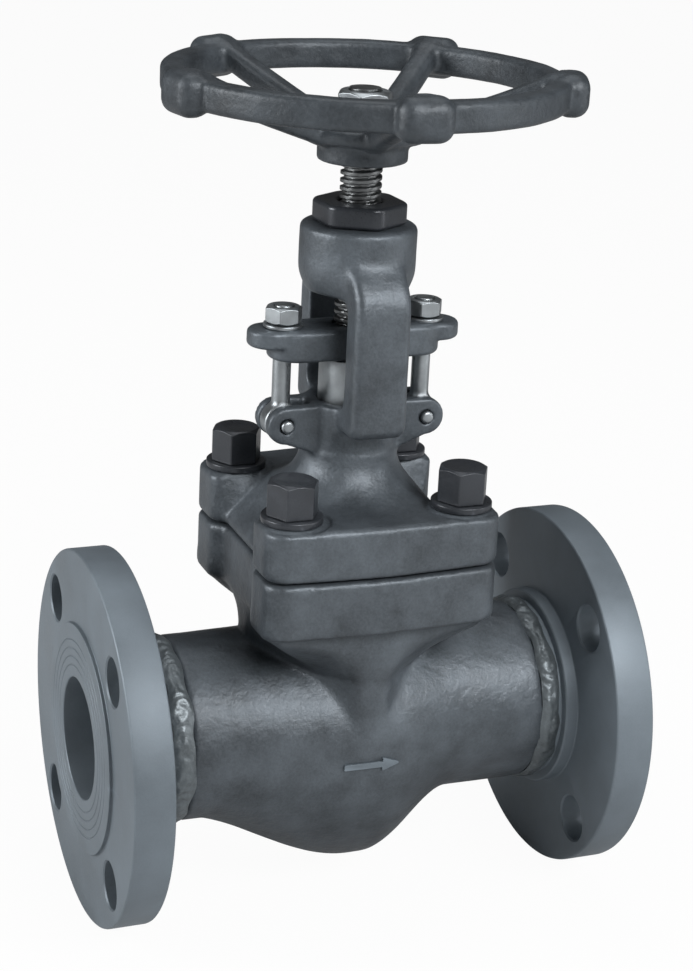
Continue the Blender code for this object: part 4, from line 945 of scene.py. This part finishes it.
class MakeBonnet(bpy.types.Operator):
    """Makes the bonnet with its stuffing box, ears and yoke."""

    bl_idname = "globe_valve.make_bonnet"
    bl_label = "Bonnet and yoke"

    def execute(self, context):
        s = context.scene.valve_bonnet
        sizes = {"Plate bottom": s.plate_bottom, "Plate top": s.plate_top, "Box radius": s.box_radius,
                 "Box top": s.box_top, "Head radius": s.head_radius, "Head underside": s.head_bottom,
                 "Head top": s.head_top}
        bonnet = field_piece("bonnet_forging", BONNET_BOX, BONNET_VOXEL, sizes, bonnet_rule, "forged")
        finished(bonnet, "valve", "forged", ["bonnet"])
        return {"FINISHED"}


# Bolts, nuts and washers

def hexagon(flats, corner_radius=0.0, turn=0.0):
    """Corners of a hexagon across flats, anticlockwise, with an arc at each corner."""
    reach = flats / math.sqrt(3)
    corners = [(reach * math.cos(TAU * i / 6 + turn), reach * math.sin(TAU * i / 6 + turn), corner_radius)
               for i in range(6)]
    return rounded_outline(corners, 3)


def hex_head(name, flats, low, high, bore=0.0, dish=0.0):
    """A hexagon turned down at its corners: a nut with a bore, or a bolt head with a shallow dish on top."""
    head = prism(name, hexagon(flats, 0.05 * flats), low, high)
    flat_r, corner_r = flats * CHAMFER_FLAT, flats * CHAMFER_CORNER
    drop = (corner_r - flat_r) * CHAMFER_SLOPE
    if bore:
        barrel = [(0, high), (flat_r, high), (corner_r, high - drop), (corner_r, low + drop),
                  (flat_r, low), (0, low)]
    else:
        barrel = [(0, high - dish), (flat_r * DISH_FLOOR, high - dish), (flat_r * DISH_RIM, high),
                  (flat_r, high), (corner_r, high - drop), (corner_r, low - BORE_PAST), (0, low - BORE_PAST)]
    combined(head, [turned(f"{name} barrel", barrel, 96)], "INTERSECT")
    if bore:
        hole = [(0, high + BORE_PAST), (bore + BORE_FLARE, high + BORE_PAST), (bore, high - BORE_LEAD),
                (bore, low + BORE_LEAD), (bore + BORE_FLARE, low - BORE_PAST), (0, low - BORE_PAST)]
        combined(head, [turned(f"{name} bore", hole, 48)], "DIFFERENCE")
    return head


def plain_washer(name, outer, inner, low, high, edge):
    corners = [(inner, low, edge / 2), (inner, high, edge), (outer, high, edge), (outer, low, edge / 2)]
    return turned(name, rounded_outline(corners, 3), 72)


def four_times(piece, x, y):
    """Copies a blackened piece, made at the origin, to the four places of the bonnet bolts."""
    sizes = {"Bolt X": x, "Bolt Y": y}
    graph, size = new_tree(f"{piece.name} places", sizes, takes_geometry=True)
    grid = graph.node("GeometryNodeMeshGrid", values={
        "Size X": size["Bolt X"] * 2.0, "Size Y": size["Bolt Y"] * 2.0, "Vertices X": 2, "Vertices Y": 2})
    copies = graph.node("GeometryNodeInstanceOnPoints", values={"Points": grid, "Instance": size["Piece"]})
    end_tree(graph, copies, FINISHES["blackened"])
    return baked(piece, graph, sizes, None)


class MakeBonnetBolts(bpy.types.Operator):
    """Makes the four bonnet bolts and their washers."""

    bl_idname = "globe_valve.make_bonnet_bolts"
    bl_label = "Bonnet bolts"

    def execute(self, context):
        s = context.scene.valve_fasteners
        bolt = hex_head("bonnet_bolts", s.bolt_flats, *BOLT_HEAD, dish=BOLT_DISH)
        bevelled(joined(bolt, [turned("bolt shank", BOLT_SHANK, 40)]), BOLT_EDGE, 3, 25)
        washer = plain_washer("bonnet_washers", *BOLT_WASHER)
        for piece, node in ((bolt, "bonnet_bolt"), (washer, "bonnet_washer")):
            four_times(piece, s.bolt_x, s.bolt_y)
            places = ("front_left", "front_right", "back_left", "back_right")
            finished(piece, "valve", "blackened", [f"{node}_{place}" for place in places])
        return {"FINISHED"}


# Gland

def gland_flange_rule(graph, place, size):
    """The gland flange: a thick oval middle, thinner tips and three holes."""
    x, y, z = graph.split(place)
    across = abs(x)
    thick = graph.length(graph.most(across - PLATE_MIDDLE_X, 0.0), y) - PLATE_MIDDLE_R
    thin = graph.length(graph.most(across - PLATE_TIP_X, 0.0), y) - PLATE_TIP_R
    middle = graph.slab(thick, z, PLATE_MIDDLE_LOW, PLATE_TOP, PLATE_EDGE)
    tips = graph.slab(thin, z, PLATE_TIP_LOW, PLATE_TOP, PLATE_EDGE)
    solid = graph.soft_least(middle, tips, PLATE_BLEND) + wavy(graph, place, *PLATE_SWELL)
    stem = graph.length(x, y) - PLATE_STEM_HOLE_R
    bolt = graph.length(across - size["Eyebolt X"], y) - PLATE_BOLT_HOLE_R
    return graph.most(solid, -graph.least(stem, bolt))


def eyebolt_rule(graph, place, size):
    """An eyebolt at the origin of X: a shank that runs into a drilled eye."""
    x, y, z = graph.split(place)
    shank = graph.drum(graph.length(x, y), z, SHANK, SHANK_EDGE)
    around_pin = graph.length(x, z - PIN_Z)
    eye = graph.rounded_box(around_pin - EYE_R, abs(y) - EYE_HALF, EYE_EDGE)
    solid = graph.soft_least(shank, eye, EYE_BLEND)
    return graph.most(solid, -(around_pin - PIN_HOLE_R))


class MakeGland(bpy.types.Operator):
    """Makes the gland flange, its follower, the eyebolts, pins, nuts and washers."""

    bl_idname = "globe_valve.make_gland"
    bl_label = "Gland"

    def execute(self, context):
        x = context.scene.valve_fasteners.eyebolt_x
        sizes = {"Eyebolt X": x}
        flange = field_piece("gland_plate", PLATE_BOX, PLATE_VOXEL, sizes, gland_flange_rule, "forged")
        finished(flange, "gland", "forged", ["gland_flange"])
        follower = turned("gland_bush", rounded_outline(FOLLOWER, 3), 96)
        finished(follower, "gland", "zinc", ["gland_follower"])
        for name, side in (("left", -1), ("right", 1)):
            shift = Matrix.Translation((side * x, 0, 0))
            bolt = field_piece(f"swing_bolt_{name}", EYEBOLT_BOX, EYEBOLT_VOXEL, {}, eyebolt_rule, "zinc")
            finished(moved(bolt, shift), "valve", "zinc", [f"eyebolt_{name}"])
            ends = [(0, PIN_HALF_LENGTH, 0), (PIN_R, PIN_HALF_LENGTH, PIN_EDGE),
                    (PIN_R, -PIN_HALF_LENGTH, PIN_EDGE), (0, -PIN_HALF_LENGTH, 0)]
            pin = turned(f"swing_pin_{name}", rounded_outline(ends, 4), 32)
            finished(along_y(pin, (side * x, 0, PIN_Z)), "valve", "zinc", [f"eyebolt_pin_{name}"])
            washer = moved(plain_washer(f"gland_ring_{name}", *GLAND_WASHER), shift)
            finished(washer, "gland", "zinc", [f"gland_washer_{name}"])
            nut = moved(bevelled(hex_head(f"gland_hexagon_{name}", *GLAND_NUT), NUT_EDGE, 2, 25), shift)
            finished(nut, f"nut_{name}", "zinc", [f"gland_nut_{name}"])
        return {"FINISHED"}


# Yoke nut and stem

class MakeYokeNut(bpy.types.Operator):
    """Makes the yoke nut with its rounded hexagonal flange."""

    bl_idname = "globe_valve.make_yoke_nut"
    bl_label = "Yoke nut"

    def execute(self, context):
        nut = prism("yoke_bush", hexagon(BUSH_FLATS, BUSH_CORNER, BUSH_TURN), *BUSH_HEAD)
        radius, low, high = BUSH_BORE
        bore = turned("bush bore", [(0, high), (radius, high), (radius, low), (0, low)], 64)
        combined(nut, [bore], "DIFFERENCE")
        sleeve = turned("bush sleeve", [(STEM_HOLE_R, SLEEVE_LOW), (STEM_HOLE_R, SLEEVE_TOP),
                                        (SLEEVE_R, SLEEVE_TOP), (SLEEVE_R, SLEEVE_LOW)], 72)
        bevelled(joined(nut, [sleeve]), BUSH_EDGE, 4, 40)
        finished(nut, "valve", "blackened", ["yoke_nut"])
        return {"FINISHED"}


def stem_thread(name, radius, low, high, pitch, depth):
    """A threaded bar: a cylinder whose radius follows a right-hand screw, from a geometry tree."""
    sizes = {"Radius": radius, "Pitch": pitch, "Depth": depth}
    graph, size = new_tree(f"{name} rule", sizes)
    bar = graph.node("GeometryNodeMeshCylinder", {"fill_type": "NGON"}, {
        "Vertices": THREAD_SIDES, "Side Segments": round((high - low) / pitch * RINGS_PER_PITCH),
        "Radius": radius, "Depth": high - low})
    x, y, z = graph.split(graph.node("GeometryNodeInputPosition"))
    turn = graph.maths("ARCTAN2", y, x) / TAU
    phase = graph.maths("FRACT", z / size["Pitch"] - turn + 100.0)
    ridge = abs(phase - 0.5) * 2.0
    flank = graph.clamped((ridge - FLANK_START) / FLANK_WIDTH)
    near_end = graph.clamped(((high - low) / 2 - abs(z)) / THREAD_FADE)
    sunk = (1.0 - flank) * size["Depth"] * near_end
    ring = graph.most(graph.length(x, y), 1e-5)
    on_side = graph.maths("GREATER_THAN", ring, radius * 0.5)
    share = graph.blend(on_side, 1.0, (size["Radius"] - sunk) / ring)
    place = graph.node("ShaderNodeCombineXYZ", values={"X": x * share, "Y": y * share, "Z": z})
    shaped = graph.node("GeometryNodeSetPosition", values={"Geometry": bar.out("Mesh"), "Position": place})
    end_tree(graph, shaped, FINISHES["stainless"])
    obj = baked(new_object(name, bpy.data.meshes.new(name)), graph, sizes, 40)
    return moved(obj, Matrix.Translation((0, 0, (low + high) / 2)))


class MakeStem(bpy.types.Operator):
    """Makes the stem: head, plain shaft, screw thread, square and threaded end."""

    bl_idname = "globe_valve.make_stem"
    bl_label = "Stem"

    def execute(self, context):
        pitch = context.scene.valve_fasteners.thread_pitch
        stem = turned("stem_shaft", SHAFT, 64)
        thread = stem_thread("stem screw", STEM_R, *SCREW_ENDS, pitch, SCREW_DEPTH)
        corners = [(SQUARE_HALF * i, SQUARE_HALF * j) for i, j in ((1, 1), (-1, 1), (-1, -1), (1, -1))]
        square = prism("stem square", corners, *SQUARE_ENDS)
        tip = stem_thread("stem tip", TIP_R, *TIP_ENDS, TIP_PITCH, TIP_DEPTH)
        joined(stem, [thread, square, tip])
        finished(stem, "spindle", "stainless", ["stem"])
        return {"FINISHED"}


# Handwheel

def wheel_rule(graph, place, size):
    """The handwheel: a hub open from below, five rising spokes, flat-sided rim and five grip lobes."""
    x, y, z = graph.split(place)
    reach = graph.length(x, y)
    turn = graph.maths("ARCTAN2", y, x) - FIRST_SPOKE
    turn = turn - graph.maths("ROUND", turn / (TAU / SPOKES)) * (TAU / SPOKES)
    u = reach * graph.maths("COSINE", turn)
    v = reach * graph.maths("SINE", turn)
    rim_z = size["Rim height"]
    rim = abs(reach - size["Rim radius"]) - RIM_HALF_WIDTH
    rim = graph.rounded_box(rim, abs(z - rim_z) - RIM_HALF_HEIGHT, RIM_EDGE)
    past = u - SPOKE_FROM
    centre = SPOKE_Z + past * SPOKE_RISE + past * past * SPOKE_BEND
    half = size["Spoke width"] / 2 - graph.clamped((TAPER_END - u) / TAPER_LENGTH) * TAPER
    spoke = graph.rounded_box(abs(v) - half, (abs(z - centre) - SPOKE_HALF_HEIGHT) * SPOKE_LEAN, SPOKE_EDGE)
    spoke = graph.most(graph.most(spoke, u - SPOKE_OUTER), SPOKE_INNER - u)
    hub_low, hub_high = HUB_ENDS
    hub = graph.slab(reach - size["Hub radius"], z, hub_low, hub_high, HUB_EDGE)
    solid = graph.soft_least(rim, spoke, SPOKE_BLEND)
    solid = graph.soft_least(graph.soft_least(solid, graph.drum(reach, z, DISH, DISH_EDGE), DISH_BLEND), hub,
                             HUB_BLEND)
    solid = graph.most(solid, hub_low - z)
    out = abs(u - size["Lobe radius"]) - KNOB_HALF_OUT
    flat = graph.rounded_box(out, abs(v) - KNOB_HALF_WIDTH, KNOB_EDGE)
    lobe = graph.rounded_box(flat, abs(z - rim_z) - KNOB_HALF_HEIGHT, KNOB_EDGE)
    solid = graph.soft_least(solid, lobe, KNOB_BLEND)
    solid = solid + wavy(graph, place, *WHEEL_SWELL)
    recess = graph.most(reach - HUB_RECESS_R, z - hub_high)
    square = graph.most(abs(x), abs(y)) - WHEEL_SQUARE_HALF
    return graph.most(graph.most(solid, -recess), -square)


class MakeHandwheel(bpy.types.Operator):
    """Makes the handwheel, its washer and its nut."""

    bl_idname = "globe_valve.make_handwheel"
    bl_label = "Handwheel"

    def execute(self, context):
        s = context.scene.valve_wheel
        sizes = {"Rim radius": s.rim_radius, "Rim height": s.rim_height, "Hub radius": s.hub_radius,
                 "Lobe radius": s.knob_radius, "Spoke width": s.spoke_width}
        wheel = field_piece("wheel_casting", WHEEL_BOX, WHEEL_VOXEL, sizes, wheel_rule, "cast")
        finished(wheel, "spindle", "cast", ["handwheel"])
        finished(plain_washer("wheel_ring", *WHEEL_WASHER), "spindle", "zinc", ["handwheel_washer"])
        nut = bevelled(hex_head("wheel_hexagon", *WHEEL_NUT), NUT_EDGE, 2, 25)
        finished(nut, "spindle", "zinc", ["handwheel_nut"])
        return {"FINISHED"}


# Inner pieces

class DressInnerPieces(bpy.types.Operator):
    """Gives the pieces inside the valve their finishes."""

    bl_idname = "globe_valve.dress_inner_pieces"
    bl_label = "Inner pieces"

    def execute(self, context):
        for node, finish in INNER_PIECES.items():
            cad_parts[node].material_slots[0].material = FINISHES[finish]
        return {"FINISHED"}


# Stage

def area_light(name, place, size, power):
    lamp = bpy.data.lights.new(name, "AREA")
    lamp.shape = "RECTANGLE"
    lamp.size, lamp.size_y = size
    lamp.energy = power
    obj = bpy.data.objects.new(name, lamp)
    aim = (Vector(LIT_POINT) - Vector(place)).to_track_quat("-Z", "Y")
    obj.matrix_world = Matrix.Translation(place) @ aim.to_matrix().to_4x4()
    bpy.context.scene.collection.objects.link(obj)


def floor_material():
    """A pale floor that the camera sees as white, apart from the valve's shadow."""
    material, graph, shader, place = new_finish("pale floor")
    shader.inputs["Base Color"].default_value = (0.6, 0.6, 0.6, 1.0)
    shader.inputs["Roughness"].default_value = 0.9
    white = graph.node("ShaderNodeEmission", values={"Color": (1.0, 1.0, 1.0, 1.0), "Strength": 1.0})
    path = graph.node("ShaderNodeLightPath")
    seen = graph.most(path.out("Is Camera Ray"), path.out("Is Transmission Ray"))
    lit = Value(graph, shader.outputs[0])
    mixed = graph.node("ShaderNodeMixShader", values={0: seen * FLOOR_WHITE, 1: lit, 2: white})
    output = material.node_tree.nodes["Material Output"]
    graph.tree.links.new(mixed.socket, output.inputs["Surface"])
    return material


class MakeStage(bpy.types.Operator):
    """Makes the floor, the lamps, the world and the camera."""

    bl_idname = "globe_valve.make_stage"
    bl_label = "Stage"

    def execute(self, context):
        scene = context.scene
        bm = bmesh.new()
        bmesh.ops.create_grid(bm, x_segments=1, y_segments=1, size=FLOOR_HALF)
        bmesh.ops.translate(bm, verts=bm.verts, vec=(0, 0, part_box("inlet_flange")[0].z - FLOOR_BELOW))
        floor = new_object("floor", mesh_from("floor", bm))
        floor.data.materials.append(floor_material())

        world = bpy.data.worlds.new("soft studio")
        scene.world = world
        world.use_nodes = True
        graph = Graph(world.node_tree)
        path = graph.node("ShaderNodeLightPath")
        seen = graph.most(path.out("Is Camera Ray"), path.out("Is Transmission Ray"))
        background = world.node_tree.nodes["Background"]
        background.inputs["Color"].default_value = (1.0, 1.0, 1.0, 1.0)
        strength = graph.blend(seen, AMBIENT, 1.0)
        graph.tree.links.new(strength.socket, background.inputs["Strength"])

        for lamp in LAMPS:
            area_light(*lamp)

        camera = bpy.data.cameras.new("camera")
        camera.sensor_fit = "VERTICAL"
        camera.sensor_height = SENSOR_HEIGHT
        camera.lens = LENS
        obj = bpy.data.objects.new("camera", camera)
        axes = Matrix((Vector(CAMERA_RIGHT), Vector(CAMERA_UP), -Vector(CAMERA_AHEAD)))
        obj.matrix_world = Matrix.Translation(CAMERA_PLACE) @ axes.transposed().to_4x4()
        scene.collection.objects.link(obj)
        scene.camera = obj
        scene.view_settings.view_transform = "Standard"
        return {"FINISHED"}


class ValvePanel(bpy.types.Panel):
    """Lists the sizes, the colours and the steps that make the valve."""

    bl_idname = "VIEW3D_PT_globe_valve"
    bl_label = "Globe valve"
    bl_space_type = "VIEW_3D"
    bl_region_type = "UI"
    bl_category = "Valve"

    def draw(self, context):
        layout = self.layout
        for group in GROUPS:
            column = layout.box().column()
            settings = getattr(context.scene, group)
            for name in settings.bl_rna.properties.keys():
                if name not in {"rna_type", "name"}:
                    column.prop(settings, name)
        for step in STEPS:
            layout.operator(step.bl_idname)


GROUPS = {"valve_colours": ValveColours, "valve_body": BodySettings, "valve_bonnet": BonnetSettings,
          "valve_wheel": WheelSettings, "valve_fasteners": FastenerSettings}
STEPS = (MakeBody, MakeFlanges, MakeBonnet, MakeBonnetBolts, MakeGland, MakeYokeNut, MakeStem, MakeHandwheel,
         DressInnerPieces, MakeStage)


def register():
    for group in GROUPS.values():
        bpy.utils.register_class(group)
    for name, group in GROUPS.items():
        setattr(bpy.types.Scene, name, bpy.props.PointerProperty(type=group))
    for step in STEPS:
        bpy.utils.register_class(step)
    bpy.utils.register_class(ValvePanel)


def unregister():
    bpy.utils.unregister_class(ValvePanel)
    for step in reversed(STEPS):
        bpy.utils.unregister_class(step)
    for name in GROUPS:
        delattr(bpy.types.Scene, name)
    for group in reversed(GROUPS.values()):
        bpy.utils.unregister_class(group)


def main():
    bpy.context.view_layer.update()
    register()
    FINISHES.update(make_finishes(bpy.context.scene.valve_colours))
    for step in STEPS:
        group, name = step.bl_idname.split(".")
        getattr(getattr(bpy.ops, group), name)()


if __name__ == "__main__":
    main()
